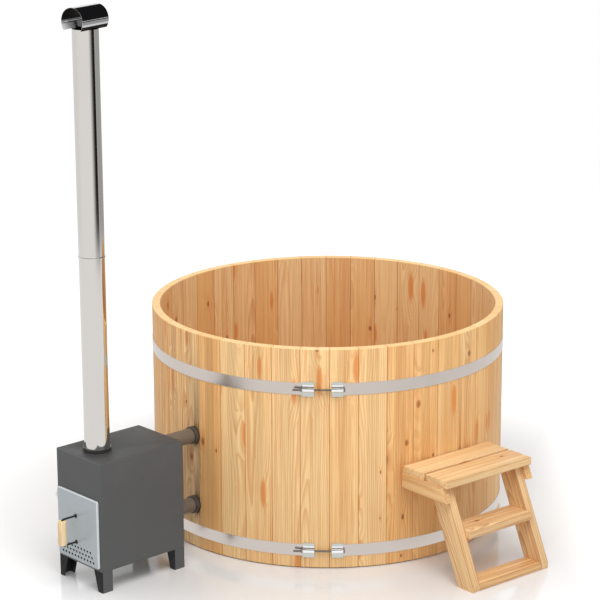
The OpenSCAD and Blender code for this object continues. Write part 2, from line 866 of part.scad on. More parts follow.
module ash_pan() {
    pan_x = -stove_front + casing_t + grate_play;
    lip = grate_ledge;
    color(dark_steel) {
        difference() {
            span_box([pan_x, -pan_w / 2, fire_z], [pan_x + pan_l, pan_w / 2, fire_z + pan_h]);
            span_box([pan_x + pan_t, -pan_w / 2 + pan_t, fire_z + pan_t],
                     [pan_x + pan_l - pan_t, pan_w / 2 - pan_t, fire_z + pan_h + over]);
        }
        span_box([pan_x + pan_t, -lip, fire_z + pan_h - lip],
                 [pan_x + lip, lip, fire_z + pan_h - lip + pan_t]);
    }
}

// One folded channel, with its web on the outer side of the stove at Y = 0 and its two tapered
// flanges towards +Y
module stove_leg() {
    intersection() {
        difference() {
            translate([leg_side_w / 2, leg_top_w, 0])
                linear_extrude(leg_h) round_rect(leg_side_w, 2 * leg_top_w, casing_r);
            translate([leg_side_w / 2, leg_top_w, -over]) linear_extrude(leg_h + over - casing_t)
                round_rect(leg_side_w - 2 * casing_t, 2 * (leg_top_w - casing_t), casing_r - casing_t);
        }
        rotate([90, 0, 90]) linear_extrude(leg_side_w)
            polygon([[0, 0], [leg_foot_w, 0], [leg_top_w, leg_h], [0, leg_h]]);
    }
}

module stove_legs() {
    color(dark_steel) translate([-(stove_front + stove_back) / 2, 0, 0])
        for (mx = [0, 1], my = [0, 1]) mirror([mx, 0, 0]) mirror([0, my, 0])
            translate([-stove_l / 2, -stove_w / 2, 0]) stove_leg();
}

// The collar on the casing, which carries the flue on a ledge inside
module flue_socket() {
    color(dark_steel) translate([-flue_x, 0, 0]) difference() {
        translate([0, 0, socket_foot_z])
            cylinder(h = casing_top + socket_h - socket_foot_z, r = socket_d / 2);
        translate([0, 0, flue_foot_z])
            cylinder(h = socket_l + socket_h + over, r = socket_in_r);
        translate([0, 0, socket_foot_z - over])
            cylinder(h = flue_foot_z - socket_foot_z + 2 * over, r = socket_in_r - 2 * fire_t);
    }
}

// The door's block with bevelled front edges, made smaller by a wall and longer at the back
module door_block(wall, back) {
    w = door_w - 2 * wall;
    h = door_h - 2 * wall;
    b = door_arris;
    translate([-door_x, 0, door_z + door_h / 2]) intersection() {
        translate([back, 0, 0]) rotate([0, -90, 0])
            linear_extrude(door_l - wall + back) round_rect(h, w, door_r - wall);
        linear_extrude(h + over, center = true)
            polygon([[2 * over, -w / 2 - over], [2 * over, w / 2 + over], [-door_l + b + wall, w / 2 + over],
                     [-door_l + b + wall, w / 2], [-door_l + wall, w / 2 - b],
                     [-door_l + wall, -w / 2 + b], [-door_l + b + wall, -w / 2],
                     [-door_l + b + wall, -w / 2 - over]]);
        rotate([90, 0, 0]) linear_extrude(w + over, center = true)
            polygon([[2 * over, -h / 2 - over], [2 * over, h / 2 + over], [-door_l + b + wall, h / 2 + over],
                     [-door_l + b + wall, h / 2], [-door_l + wall, h / 2 - b],
                     [-door_l + wall, -h / 2 + b], [-door_l + b + wall, -h / 2],
                     [-door_l + b + wall, -h / 2 - over]]);
    }
}

// Each child stands at the root of a handle arm, on the door's lower level
module at_handle_arms() {
    for (side = [-1, 1])
        translate([0, handle_y, door_z + handle_z + side * handle_h / 2]) children();
}

module stove_door() {
    color("lightsteelblue") difference() {
        door_block(0, 0);
        door_block(door_t, over);
        for (row = [0 : air_rows - 1], i = [0 : air_count - row - 1])
            translate([0, (i - (air_count - row - 1) / 2) * air_pitch,
                       door_z + air_z + row * air_row_pitch])
                bar_x(-door_face_x - over, -door_back_x + over, air_d / 2);
        at_handle_arms() bar_x(-door_face_x - over, -door_back_x + over, handle_d / 2 + screw_play);
    }
}

// A plate behind the door that keeps the heat off it, on four short posts
module door_liner() {
    low = door_z + air_z + air_rows * air_row_pitch;
    high = door_z + door_h - liner_border;
    w = door_w / 2 - liner_border;
    post_in = liner_border;
    color(dark_steel) {
        span_box([-door_x - liner_t, -w, low], [-door_x, w, high]);
        for (y = [-w + post_in, w - post_in], z = [low + post_in, high - post_in])
            translate([0, y, z]) bar_x(-door_back_x, -door_x - liner_t, liner_t * 2);
    }
}

module door_handle_bar() {
    r = handle_d / 2;
    root = -door_back_x + hex_h / 2;
    color("black") {
        at_handle_arms() {
            bar_x(-door_face_x - handle_reach, root, r);
            translate([-door_face_x - handle_reach, 0, 0]) sphere(r = r, $fn = 48);
            bar_x(-door_face_x - washer_t, -door_face_x, washer_d / 2);
        }
        translate([-door_face_x - handle_reach, handle_y, door_z + handle_z - handle_h / 2])
            cylinder(h = handle_h, r = r);
    }
}

module door_grip() {
    grip_h = handle_h - handle_d - 2 * screw_play;
    r = grip_d / 2;
    b = door_arris;
    color("wheat") translate([-door_face_x - handle_reach, handle_y, door_z + handle_z])
        rotate_extrude() polygon([
            [handle_d / 2, -grip_h / 2], [r - b, -grip_h / 2], [r, -grip_h / 2 + b],
            [r, grip_h / 2 - b], [r - b, grip_h / 2], [handle_d / 2, grip_h / 2]
        ]);
}

module handle_nuts() {
    color(bright_steel) at_handle_arms() difference() {
        translate([-door_back_x, 0, 0]) rotate([0, 90, 0])
            cylinder(h = hex_h / 2, d = hex_w, $fn = 6);
        bar_x(-door_face_x, -door_x, handle_d / 2);
    }
}

// A knuckle from z0 to z1 about the hinge pin
module knuckle(z0, z1) {
    translate([-pin_x, pin_y, z0]) difference() {
        cylinder(h = z1 - z0, r = knuckle_r, $fn = 48);
        translate([0, 0, -over])
            cylinder(h = z1 - z0 + 2 * over, r = pin_r + pin_play, $fn = 48);
    }
}

// The door's knuckles, each on an arm that is welded to the door's edge
module door_knuckles() {
    color(dark_steel) for (z = hinge_zs) difference() {
        union() {
            knuckle(z - knuckle_h / 2, z + knuckle_h / 2);
            span_box([-door_x - leaf_t, door_w / 2, z - knuckle_h / 2],
                     [-door_x, pin_y + knuckle_r, z + knuckle_h / 2]);
            span_box([-door_x - leaf_t, pin_y, z - knuckle_h / 2],
                     [-pin_x, pin_y + knuckle_r, z + knuckle_h / 2]);
        }
        translate([-pin_x, pin_y, z - knuckle_h])
            cylinder(h = 2 * knuckle_h, r = pin_r + pin_play, $fn = 48);
    }
}

// The casing's knuckles, above and below each of the door's, on a leaf on the casing's side
module casing_knuckles() {
    color(dark_steel) for (z = hinge_zs) {
        reach = knuckle_h / 2 + knuckle_gap;
        difference() {
            union() {
                for (side = [-1, 1])
                    translate([0, 0, z + side * (reach + knuckle_h / 2)]) {
                        knuckle(-knuckle_h / 2, knuckle_h / 2);
                        span_box([-pin_x, stove_w / 2, -knuckle_h / 2],
                                 [-pin_x + 2 * knuckle_r, stove_w / 2 + leaf_t, knuckle_h / 2]);
                    }
                span_box([-pin_x + knuckle_r + leaf_t, stove_w / 2, z - reach - knuckle_h],
                         [-pin_x + 3 * knuckle_h, stove_w / 2 + leaf_t, z + reach + knuckle_h]);
            }
            translate([-pin_x, pin_y, z - 2 * knuckle_h])
                cylinder(h = 4 * knuckle_h, r = pin_r + pin_play, $fn = 48);
        }
    }
}

module hinge_pins() {
    color(bright_steel) for (z = hinge_zs) translate([-pin_x, pin_y, 0]) {
        reach = knuckle_h * 3 / 2 + knuckle_gap;
        translate([0, 0, z - reach]) cylinder(h = 2 * reach, r = pin_r, $fn = 48);
        translate([0, 0, z + reach]) cylinder(h = knuckle_t / 2, r = knuckle_r, $fn = 48);
    }
}

// A bent tongue on the door that springs past the edge of the mouth
module door_catch() {
    tongue = door_l;
    y = -fire_w / 2 + 2 * screw_play;
    z = door_z + handle_z;
    color(bright_steel)
        span_box([-door_x, y, z - knuckle_h], [-door_x + tongue, y + liner_t, z + knuckle_h]);
}

module chimney_lower() {
    color(bright_steel) translate([-flue_x, 0, flue_foot_z]) difference() {
        cylinder(h = flue_joint_z - flue_foot_z, r = flue_r);
        translate([0, 0, -over])
            cylinder(h = flue_joint_z - flue_foot_z + 2 * over, r = flue_r - flue_t);
    }
}

// The upper pipe, with a narrowed end that slips into the lower one and a bead that stops it
module chimney_upper() {
    in_r = flue_r - flue_t - spigot_play;
    color(bright_steel) translate([-flue_x, 0, flue_joint_z]) {
        rotate_extrude() polygon([
            [in_r, -spigot_l], [in_r, 0], [flue_r, 0], [flue_r, flue_top_z - flue_joint_z],
            [flue_r - flue_t, flue_top_z - flue_joint_z], [flue_r - flue_t, flue_t],
            [in_r - flue_t, flue_t], [in_r - flue_t, -spigot_l]
        ]);
        translate([0, 0, bead_r + flue_t])
            rotate_extrude() translate([flue_r, 0]) difference() {
                circle(r = bead_r, $fn = 24);
                translate([-2 * bead_r, -bead_r]) square(2 * bead_r);
            }
    }
}

// Each child stands at the middle of the cap, and X runs along the cap
module at_cap() {
    translate([-flue_x, 0, cap_z]) rotate([0, 0, cap_turn]) children();
}

// An arc of sheet about the cap's axis, between two angles from level
module cap_arc(r, t, from, to, l) {
    translate([-l / 2, 0, 0]) rotate([90, 0, 90]) rotate([0, 0, from])
        rotate_extrude(angle = to - from) translate([r - t, 0]) square([t, l]);
}

module chimney_cap() {
    color(bright_steel) at_cap() cap_arc(cap_r, cap_t, -cap_lip, 180 + cap_lip, cap_l);
}

// A strap from inside the flue's mouth to the inside of the cap, on both sides
module cap_straps() {
    low = -cap_rise - strap_root;
    bend = -cap_rise - strap_root / 3;
    lip = [strap_r * cos(cap_lip), -strap_r * sin(cap_lip)];
    color(bright_steel) at_cap() for (side = [0, 1]) mirror([0, side, 0]) {
        rotate([90, 0, 90]) linear_extrude(strap_w, center = true) polygon([
            [strap_y, low], [strap_y, bend], lip, [lip.x - strap_t, lip.y],
            [strap_y - strap_t, bend], [strap_y - strap_t, low]
        ]);
        cap_arc(strap_r, strap_t, -cap_lip, -cap_lip / 3, strap_w);
    }
}

// Rivets with flat heads, one through each end of each strap
module cap_rivets() {
    color(bright_steel) at_cap() for (side = [0, 1]) mirror([0, side, 0]) {
        translate([0, 0, -cap_rise - strap_root * 2 / 3])
            bar_y(strap_y - strap_t - rivet_h, strap_y - strap_t, rivet_d / 2);
        rotate([-cap_lip * 2 / 3, 0, 0])
            bar_y(cap_rivet_r - rivet_h, cap_rivet_r, rivet_d / 2);
    }
}

// Everything of the steps is drawn with +X out of the tub and then turned
module at_steps() {
    rotate([0, 0, steps_turn]) children();
}

// A profile in X and Z, given its thickness from y0 to y1
module side_board(y0, y1) {
    translate([0, y1, 0]) rotate([90, 0, 0]) linear_extrude(y1 - y0) children();
}

// The leg's front line at a height
function leg_front(z) = step_front_foot - z * step_run;

module step_top_boards() {
    color(wood) at_steps() for (i = [0, 1]) {
        x = step_rear + i * (step_w + step_gap);
        span_box([x, -step_l / 2, step_board_z], [x + step_w, step_l / 2, step_h]);
    }
}

tread_rear = leg_front(tread_h - step_t / 2) - step_leg_l;

module step_tread() {
    color(wood) at_steps()
        span_box([tread_rear, -step_leg_in, tread_h - step_t],
                 [tread_rear + step_w, step_leg_in, tread_h]);
}

bar_front = step_front_foot - step_toe;

module step_bottom_bar() {
    color(wood) at_steps()
        span_box([bar_front - step_leg_l + step_toe / 2, -step_leg_in, 0],
                 [bar_front, step_leg_in, step_t]);
}

module step_legs() {
    toe_z = step_toe / step_run;
    color(wood) at_steps() for (side = [-1, 1])
        side_board(side > 0 ? step_leg_in : -step_leg_out, side > 0 ? step_leg_out : -step_leg_in)
            polygon([
                [step_front_foot - step_leg_l, 0], [bar_front, 0], [bar_front, toe_z],
                [leg_front(step_board_z), step_board_z],
                [leg_front(step_board_z) - step_leg_l, step_board_z]
            ]);
}

module step_brackets() {
    low = step_board_z - bracket_h;
    out = step_leg_out + step_t;
    color(wood) at_steps() for (side = [-1, 1])
        side_board(side > 0 ? step_leg_out : -out, side > 0 ? out : -step_leg_out)
            polygon([
                [step_rear, low], [leg_front(low) + bracket_nose, low],
                [leg_front(step_board_z) + bracket_nose, step_board_z], [step_rear, step_board_z]
            ]);
}

module step_cleats() {
    top = tread_h - step_t;
    rear = tread_rear + cleat_w / 2;
    front = leg_front(top) - cleat_w / 2;
    color(wood) at_steps() for (side = [-1, 1])
        span_box([rear, side > 0 ? step_leg_in - cleat_w : -step_leg_in, top - cleat_w],
                 [front, side > 0 ? step_leg_in : -step_leg_in + cleat_w, top]);
}

ledger_front = tub_r + ledger_t;

// A board whose back follows the tub's wall and which carries the rear of the steps
module step_ledger() {
    color(wood) difference() {
        at_steps() span_box([tub_r - ledger_t, -step_leg_out, step_board_z - ledger_h],
                            [ledger_front, step_leg_out, step_board_z]);
        cylinder(h = step_h, r = tub_r + band_play, $fn = 180);
        ledger_screw_places()
            bar_x(tub_r - stave_t, ledger_front + over, screw_d / 2 + screw_play);
    }
}

// Four places on the ledger, in pairs at a share of its width and height
ledger_screw_y_share = 0.25;
ledger_screw_z_share = 0.25;
module ledger_screw_places() {
    at_steps() for (y = [-1, 1], z = [-1, 1])
        translate([0, y * ledger_screw_y_share * 2 * step_leg_in,
                   step_board_z - ledger_h / 2 + z * ledger_screw_z_share * ledger_h])
            children();
}

module step_screws() {
    color(bright_steel) ledger_screw_places() {
        bar_x(tub_r - screw_bite, ledger_front, screw_d / 2);
        translate([ledger_front, 0, 0]) rotate([0, 90, 0])
            cylinder(h = screw_d / 2, d = 2 * screw_d, $fn = 6);
    }
}

staves();
floor_boards();
floor_bearers();
upper_hoop_band();
lower_hoop_band();
hoop_lugs();
hoop_bolts();
hoop_nuts();
hoop_washers();
bench_slats();
bench_arms();
bench_posts();
bench_wall_blocks();
drain_body();
drain_gasket();
drain_back_nut();
drain_plug();
drain_pull_ring();
water_pipes();
outer_collars();
outer_gaskets();
inner_collars();
inner_gaskets();
stove_collars();
stove_casing();
stove_firebox();
firebox_baffle();
grate_ledges();
stove_grate();
ash_pan();
stove_legs();
flue_socket();
stove_door();
door_liner();
door_handle_bar();
door_grip();
handle_nuts();
door_knuckles();
casing_knuckles();
hinge_pins();
door_catch();
chimney_lower();
chimney_upper();
chimney_cap();
cap_straps();
cap_rivets();
step_top_boards();
step_tread();
step_bottom_bar();
step_legs();
step_brackets();
step_cleats();
step_ledger();
step_screws();
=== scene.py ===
"""The finish of a round wooden hot tub with an outside wood stove, a flue and steps."""

import json
import math

import bmesh
import bpy
import numpy as np
from mathutils import Matrix, Vector
from mathutils.bvhtree import BVHTree


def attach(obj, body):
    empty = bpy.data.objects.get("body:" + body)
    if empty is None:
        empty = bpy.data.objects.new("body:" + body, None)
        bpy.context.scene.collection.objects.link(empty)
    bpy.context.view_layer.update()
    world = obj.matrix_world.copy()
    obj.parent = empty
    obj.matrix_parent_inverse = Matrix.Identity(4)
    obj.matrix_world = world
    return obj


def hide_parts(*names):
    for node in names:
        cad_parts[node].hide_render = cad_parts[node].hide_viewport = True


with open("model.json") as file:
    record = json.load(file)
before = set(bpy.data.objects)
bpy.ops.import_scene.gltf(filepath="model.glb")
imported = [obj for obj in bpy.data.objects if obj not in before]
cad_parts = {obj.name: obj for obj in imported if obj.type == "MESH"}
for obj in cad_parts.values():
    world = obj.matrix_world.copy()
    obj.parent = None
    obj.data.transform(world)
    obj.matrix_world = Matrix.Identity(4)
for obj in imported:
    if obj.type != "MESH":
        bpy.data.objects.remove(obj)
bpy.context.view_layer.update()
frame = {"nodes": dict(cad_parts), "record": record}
NODES = frame["nodes"]
BODY_OF = {n: b for b, ns in frame["record"]["behaviour"]["bodies"].items() for n in ns}

# Sizes that this script shares with the CAD, in metres
TUB_R = 0.900
WALL_T = 0.042
INNER_R = TUB_R - WALL_T
STAVES = 40
HOOP_R = 0.9017
HOOP_Z = (0.919, 0.095)
HOOP_TURN = math.radians(-134.2)
LUG_MIDDLE = 0.0705
LUG_LONG = 0.057
LUG_HIGH = 0.074
BOLT_X = 0.913
HEX_CORNERS = 0.0185
WASHER_T = 0.002
FLUE_X = -1.497
CAP_Z = 2.716
CAP_R = 0.0645
CAP_LIP = -0.0400
CAP_TURN = math.radians(12.0)
CASING_TOP = 0.651
CASING_FRONT = -1.615
DOOR_FACE_X = -1.628
DOOR_TOP = 0.461
DOOR_SIDE = 0.155
PIPE_Z = (0.593, 0.230)

# The photograph's axes are turned by this angle from the frame's
PHOTO_AZIMUTH = math.radians(-42.75)


# Shader maths


class Val:
    """A shader socket that can stand in a Python expression as a number or a vector."""

    def __init__(self, tree, socket):
        self.tree = tree
        self.socket = socket

    def math(self, operation, *others):
        return self.tree.node("Math", {"operation": operation}, self, *others)

    def __add__(self, other):
        return self.math("ADD", other)

    def __sub__(self, other):
        return self.math("SUBTRACT", other)

    def __mul__(self, other):
        return self.math("MULTIPLY", other)

    def __truediv__(self, other):
        return self.math("DIVIDE", other)

    def __pow__(self, other):
        return self.math("POWER", other)

    def __radd__(self, other):
        return self.tree.value(other) + self

    def __rsub__(self, other):
        return self.tree.value(other) - self

    def __rmul__(self, other):
        return self.tree.value(other) * self

    def __neg__(self):
        return self * -1.0

    def sqrt(self):
        return self.math("SQRT")

    def fract(self):
        return self.math("FRACT")

    def exp(self):
        return self.math("EXPONENT")

    def absolute(self):
        return self.math("ABSOLUTE")

    def most(self, other):
        return self.math("MAXIMUM", other)

    def step(self, low, high):
        """0 below low, 1 above high and smooth between them; high may be the smaller."""
        if isinstance(low, (int, float)) and isinstance(high, (int, float)) and low > high:
            return 1.0 - self.step(high, low)
        smooth = {"interpolation_type": "SMOOTHSTEP"}
        return self.tree.node("MapRange", smooth, self, low, high, 0.0, 1.0)

    def parts(self):
        """The X, Y and Z of a vector."""
        node = self.tree.raw("SeparateXYZ", {}, self)
        return [Val(self.tree, s) for s in node.outputs]


class Finish:
    """A material's node tree, with a Principled shader to finish it."""

    def __init__(self, name):
        self.material = bpy.data.materials.new(name)
        self.material.use_nodes = True
        self.nodes = self.material.node_tree.nodes
        self.links = self.material.node_tree.links
        self.shader = self.nodes["Principled BSDF"]

    def raw(self, kind, settings, *inputs, **named):
        """Any node: its settings come first, then its inputs in order or by name."""
        node = self.nodes.new("ShaderNode" + kind)
        for key, value in settings.items():
            setattr(node, key, value)
        for socket, value in zip(node.inputs, inputs):
            self.give(socket, value)
        for key, value in named.items():
            self.give(node.inputs[key.replace("_", " ")], value)
        return node

    def node(self, kind, settings, *inputs, **named):
        return Val(self, self.raw(kind, settings, *inputs, **named).outputs[0])

    def give(self, socket, value):
        if isinstance(value, Val):
            self.links.new(value.socket, socket)
        elif value is not None:
            socket.default_value = value

    def value(self, number):
        """A plain number as a socket."""
        return self.node("Math", {"operation": "ADD"}, number, 0.0)

    def vector(self, x, y, z):
        return self.node("CombineXYZ", {}, x, y, z)

    def place(self):
        """Object coordinates, in metres."""
        return Val(self, self.raw("TexCoord", {}).outputs["Object"])

    def attribute(self, name):
        return Val(self, self.raw("Attribute", {"attribute_name": name}).outputs["Vector"])

    def noise(self, vector, scale=1.0, detail=2.0, roughness=0.5):
        return self.node(
            "TexNoise", {}, Vector=vector, Scale=scale, Detail=detail, Roughness=roughness
        )

    def mix(self, share, first, second):
        """One colour over another."""
        node = self.raw("Mix", {"data_type": "RGBA"})
        self.give(node.inputs["Factor"], share)
        for socket, value in ((node.inputs[6], first), (node.inputs[7], second)):
            self.give(socket, value if isinstance(value, Val) else (*value, 1.0))
        return Val(self, node.outputs[2])

    def bump(self, height, distance, strength):
        return self.node("Bump", {}, Height=height, Distance=distance, Strength=strength)

    def surface(self, **sockets):
        for key, value in sockets.items():
            socket = self.shader.inputs[key.replace("_", " ")]
            if isinstance(value, tuple) and len(value) == 3 and socket.type == "RGBA":
                value = (*value, 1.0)
            self.give(socket, value)
        return self.material

    def glow(self, strength, colour=(1.0, 1.0, 1.0)):
        """Light of its own."""
        return self.node("Emission", {}, (*colour, 1.0), strength)

    def ends_in(self, shader):
        """The material with this shader at its end."""
        self.give(self.nodes["Material Output"].inputs["Surface"], shader)
        return self.material


def toned(colour, *factors):
    """A colour times one factor or three, as far as white."""
    return tuple(min(1.0, c * k) for c, k in zip(colour, factors * (3 // len(factors))))


# Finishes


def softwood(
    name, pale, golden, line, ring_m=0.0048, contrast=0.75, knots=1.0,
    rough=0.5, streaky=0.5, sawn=0.0, inside=0.0,
):
    """Planed pine: rings about a wandering heart, knots, fibres and a tone for each board.

    A piece carries three vectors: grain is a point's place across, along and into its board, board
    is half its width, where it ends along the grain and half its thickness, and timber is its own
    number and where the tree's heart lay beside and behind it. A year's growth is ring_m metres
    thick, and contrast, knots, streaky, sawn and inside are shares. Sawn is painted light that
    makes the sawn ends paler, and inside is painted shade on the tub's inner wall."""
    f = Finish(name)
    across, along, depth = f.attribute("grain").parts()
    half_width, end_along, half_thick = f.attribute("board").parts()
    number, heart_across, heart_depth = f.attribute("timber").parts()
    dark = toned(line, 0.62, 0.50, 0.42)

    # Each knot is a cell's own point, turned back into metres
    cell_wide, cell_long = 0.12, 0.29
    spread = f.vector(across / cell_wide + number * 53.0, along / cell_long, 0.0)
    flat = {"voronoi_dimensions": "2D"}
    cells = f.raw("TexVoronoi", flat, Vector=spread, Scale=1.0, Randomness=0.9)
    middle = Val(f, cells.outputs["Position"])
    off = f.node("VectorMath", {"operation": "SUBTRACT"}, spread, middle).parts()
    off_across, off_along = off[0] * cell_wide, off[1] * cell_long
    wide, long = off_across * off_across, off_along * off_along
    chance, shape, _ = Val(f, cells.outputs["Color"]).parts()
    size = (chance - (1.0 - 0.50 * knots)).most(0.0) * 0.019 + 0.0005
    away = (wide + long * (shape * 0.45 + 0.2)).sqrt()
    tallish = (wide + long * 0.07).sqrt()
    edge = f.noise(f.vector(across * 110.0, along * 70.0, number * 9.0), 1.0, 2.0) * 0.004
    near = away + edge - 0.002
    # Some are round, and some are cut lengthwise and show as a tall spike of resin
    spike = shape.step(0.50, 0.54)
    knot = near.step(size * 1.1, size * 0.7) * size.step(0.0008, 0.0022) * (1.0 - spike)
    bark = (near - size).absolute().step(0.0018, 0.0005) * size.step(0.002, 0.004) * (1.0 - spike)
    swirl = (-(tallish / (size * 3.2)) ** 2.0).exp() * size * 2.3

    # Rings about the heart of the tree, which wanders beside and behind the board
    at = f.vector(number * 31.0, along * 0.85, 0.0)
    wander = Val(f, f.raw("TexNoise", {}, Vector=at, Scale=1.0, Detail=1.0).outputs["Color"])
    wander_across, wander_depth, wander_ring = wander.parts()
    wave = f.noise(f.vector(across * 14.0, along * 2.4, number * 17.0), 1.0, 3.0)
    beside = across - heart_across - (wander_across - 0.5) * 0.08
    behind = depth - heart_depth - (wander_depth - 0.5) * 0.11
    reach = (beside * beside + behind * behind).sqrt() + (wave - 0.5) * 0.009 + swirl
    year = reach / ring_m
    good_years = f.noise(f.vector(year * 0.21, number * 5.0, 0.0), 1.0, 2.0)
    ring = year.fract()
    late = ring.step(0.22, 0.90) * ring.step(1.0, 0.92)
    late = late * (good_years.step(0.32, 0.66) * 0.75 + 0.25)

    def lines(fine, long, shift, detail, roughness=0.5):
        """Noise drawn out along the grain: how many changes a metre across it and along it."""
        at = f.vector(across * fine, along * long, depth * fine + number * shift)
        return f.noise(at, 1.0, detail, roughness)

    fibre = lines(620.0, 9.0, 0.0, 2.0)
    fine = lines(170.0, 2.2, 3.0, 3.0)
    streak = lines(74.0, 1.7, 7.0, 3.0, 0.6)
    cloud = f.noise(f.vector(across * 9.0, along * 1.4, number * 23.0), 1.0, 2.0)
    warm = (number * 0.95 + (cloud - 0.5) * 1.1 + (streak - 0.5) - 0.02).step(0.1, 0.95)
    colour = f.mix(warm, pale, golden)
    # Some boards are plain and others boldly figured
    bold = (number * 7.31).fract() * 0.85 + 0.42
    drawn = contrast * (wander_ring * 0.5 + 0.55) * (bold * 0.5 + 0.6)
    colour = f.mix(late * drawn, colour, line)
    colour = f.mix(streak.step(0.47, 0.66) * bold * streaky, colour, line)
    colour = f.mix(fine.step(0.47, 0.70) * bold * streaky, colour, line)
    pale_line = lines(95.0, 1.1, 13.0, 2.0)
    colour = f.mix(pale_line.step(0.55, 0.75) * 0.45, colour, toned(pale, 1.12))
    colour = f.mix((fibre - 0.5).absolute() * 0.5, colour, dark)

    # Resin draws out above and below a knot, and the knot itself is red-brown
    tall = (wide + long * 0.040).sqrt() + (fine - 0.5) * 0.006
    flush = tall.step(size * 1.8 + 0.0015, size * 0.8) * size.step(0.0008, 0.0026)
    colour = f.mix(flush * (spike * 0.6 + 0.4) * 0.82, colour, toned(line, 1.16, 0.98, 0.62))
    core = f.mix(away.step(0.0, 0.009), (0.24, 0.062, 0.018), (0.50, 0.165, 0.045))
    colour = f.mix(knot * 0.85, colour, core)
    colour = f.mix(bark * 0.5, colour, (0.11, 0.04, 0.018))

    # Dust and damp darken the arrises and what lies between two boards
    arris = (half_width - across.absolute()) + (half_thick - depth.absolute()).most(0.0)
    colour = f.mix(arris.step(0.0033, 0.0009) * 0.60, colour, dark)
    # Painted shade: the tub's inner wall is darkened, as less light reaches it than the outer face.
    if inside:
        x, y, _ = f.place().parts()
        inner_shade = (x * x + y * y).sqrt().step(INNER_R + 0.004, INNER_R + 0.001)
        times = {"operation": "MULTIPLY"}
        shaded_tone = f.node("VectorMath", times, colour, (0.820, 0.762, 0.732))
        colour = f.mix(inner_shade * inside, colour, shaded_tone)
    # Painted light makes the sawn ends paler, one tone to each board; the seams between them are
    # dark joints.
    if sawn:
        cut = (end_along - along).step(0.0036, 0.0020)
        light, deep = toned(pale, 1.06, 1.10, 1.08), toned(golden, 1.08, 1.16, 1.25)
        colour = f.mix(cut * sawn, colour, f.mix((number * 5.3).fract(), light, deep))
        seam = (half_width - across.absolute()).step(0.0034, 0.0008)
        colour = f.mix(cut * seam * 0.55, colour, line)
    height = late * 0.5 + fibre * 0.35 - knot * 0.3
    return f.surface(
        Base_Color=colour,
        Roughness=(fibre - 0.5) * 0.25 + late * -0.08 + rough,
        Specular_IOR_Level=0.32,
        Normal=f.bump(height, 0.0004, 0.55),
    )


def brushed_steel(name, colour, rough):
    """Stainless steel with fine lines round the tub's axis."""
    f = Finish(name)
    x, y, z = f.place().parts()
    turn = y.math("ARCTAN2", x)
    line = f.noise(f.vector(turn * 8.0, z * 1400.0, 0.0), 1.0, 3.0, 0.6)
    haze = f.noise(f.vector(x * 3.0, y * 3.0, z * 5.0), 1.0, 3.0)
    smear = f.noise(f.vector(x * 14.0, y * 14.0, z * 22.0), 1.0, 4.0)
    tone = f.mix(haze * 0.35, colour, toned(colour, 0.86))
    tone = f.mix((line - 0.5).absolute() * 0.4, tone, toned(colour, 0.8))
    return f.surface(
        Base_Color=tone,
        Metallic=1.0,
        Roughness=(line - 0.5) * 0.10 + (smear - 0.5) * 0.10 + rough,
        Normal=f.bump(line, 0.00012, 0.5),
    )


def polished_steel(name, colour, rough):
    """Mirror-like sheet with faint draw lines and a little haze from handling."""
    f = Finish(name)
    x, y, z = f.place().parts()
    drawn = f.noise(f.vector(x * 160.0, y * 160.0, z * 1.2), 1.0, 2.0)
    haze = f.noise(f.vector(x * 9.0, y * 9.0, z * 4.0), 1.0, 4.0)
    tone = f.mix(haze * 0.3, colour, toned(colour, 0.9))
    return f.surface(
        Base_Color=tone,
        Metallic=1.0,
        Roughness=haze * 0.07 + rough - 0.03,
        Normal=f.bump(drawn, 0.0002, 0.06),
    )


def cap_sheet():
    """Polished sheet, blackened by smoke inside the roll, with painted dark reflection near-black
    along its two lower outer lips. What drips off inside keeps the roll's lower walls pale and
    dull."""
    f = Finish("cap_sheet")
    place = f.place()
    centred = f.node("VectorMath", {"operation": "SUBTRACT"}, place, (FLUE_X, 0.0, CAP_Z))
    x, y, z = centred.parts()
    side = y * math.cos(CAP_TURN) - x * math.sin(CAP_TURN)
    reach = (side * side + z * z).sqrt()
    ragged = f.noise(place, 55.0, 4.0)
    inside = reach.step(CAP_R - 0.0004, CAP_R - 0.0008)
    # The lips' near-black band is a painted dark reflection.
    lip = (z + (ragged - 0.5) * 0.003).step(CAP_LIP + 0.020, CAP_LIP + 0.017)
    lip = lip * (1.0 - inside)
    soot = (inside * z.step(-0.004, 0.006)).most(lip) * (ragged * 0.06 + 0.97)
    dull = inside * z.step(-0.011, -0.014)
    drawn = f.noise(f.vector(x * 20.0, side * 300.0, z * 300.0), 1.0, 2.0)
    tone = f.mix(soot, (0.66, 0.66, 0.67), (0.009, 0.0085, 0.0085))
    return f.surface(
        Base_Color=tone,
        Metallic=(1.0 - soot * 0.96) * (1.0 - dull * 0.85),
        Specular_IOR_Level=0.15,
        Roughness=soot * 0.45 + dull * 0.3 + drawn * 0.03 + 0.045,
        Normal=f.bump(drawn, 0.0001, 0.06),
    )


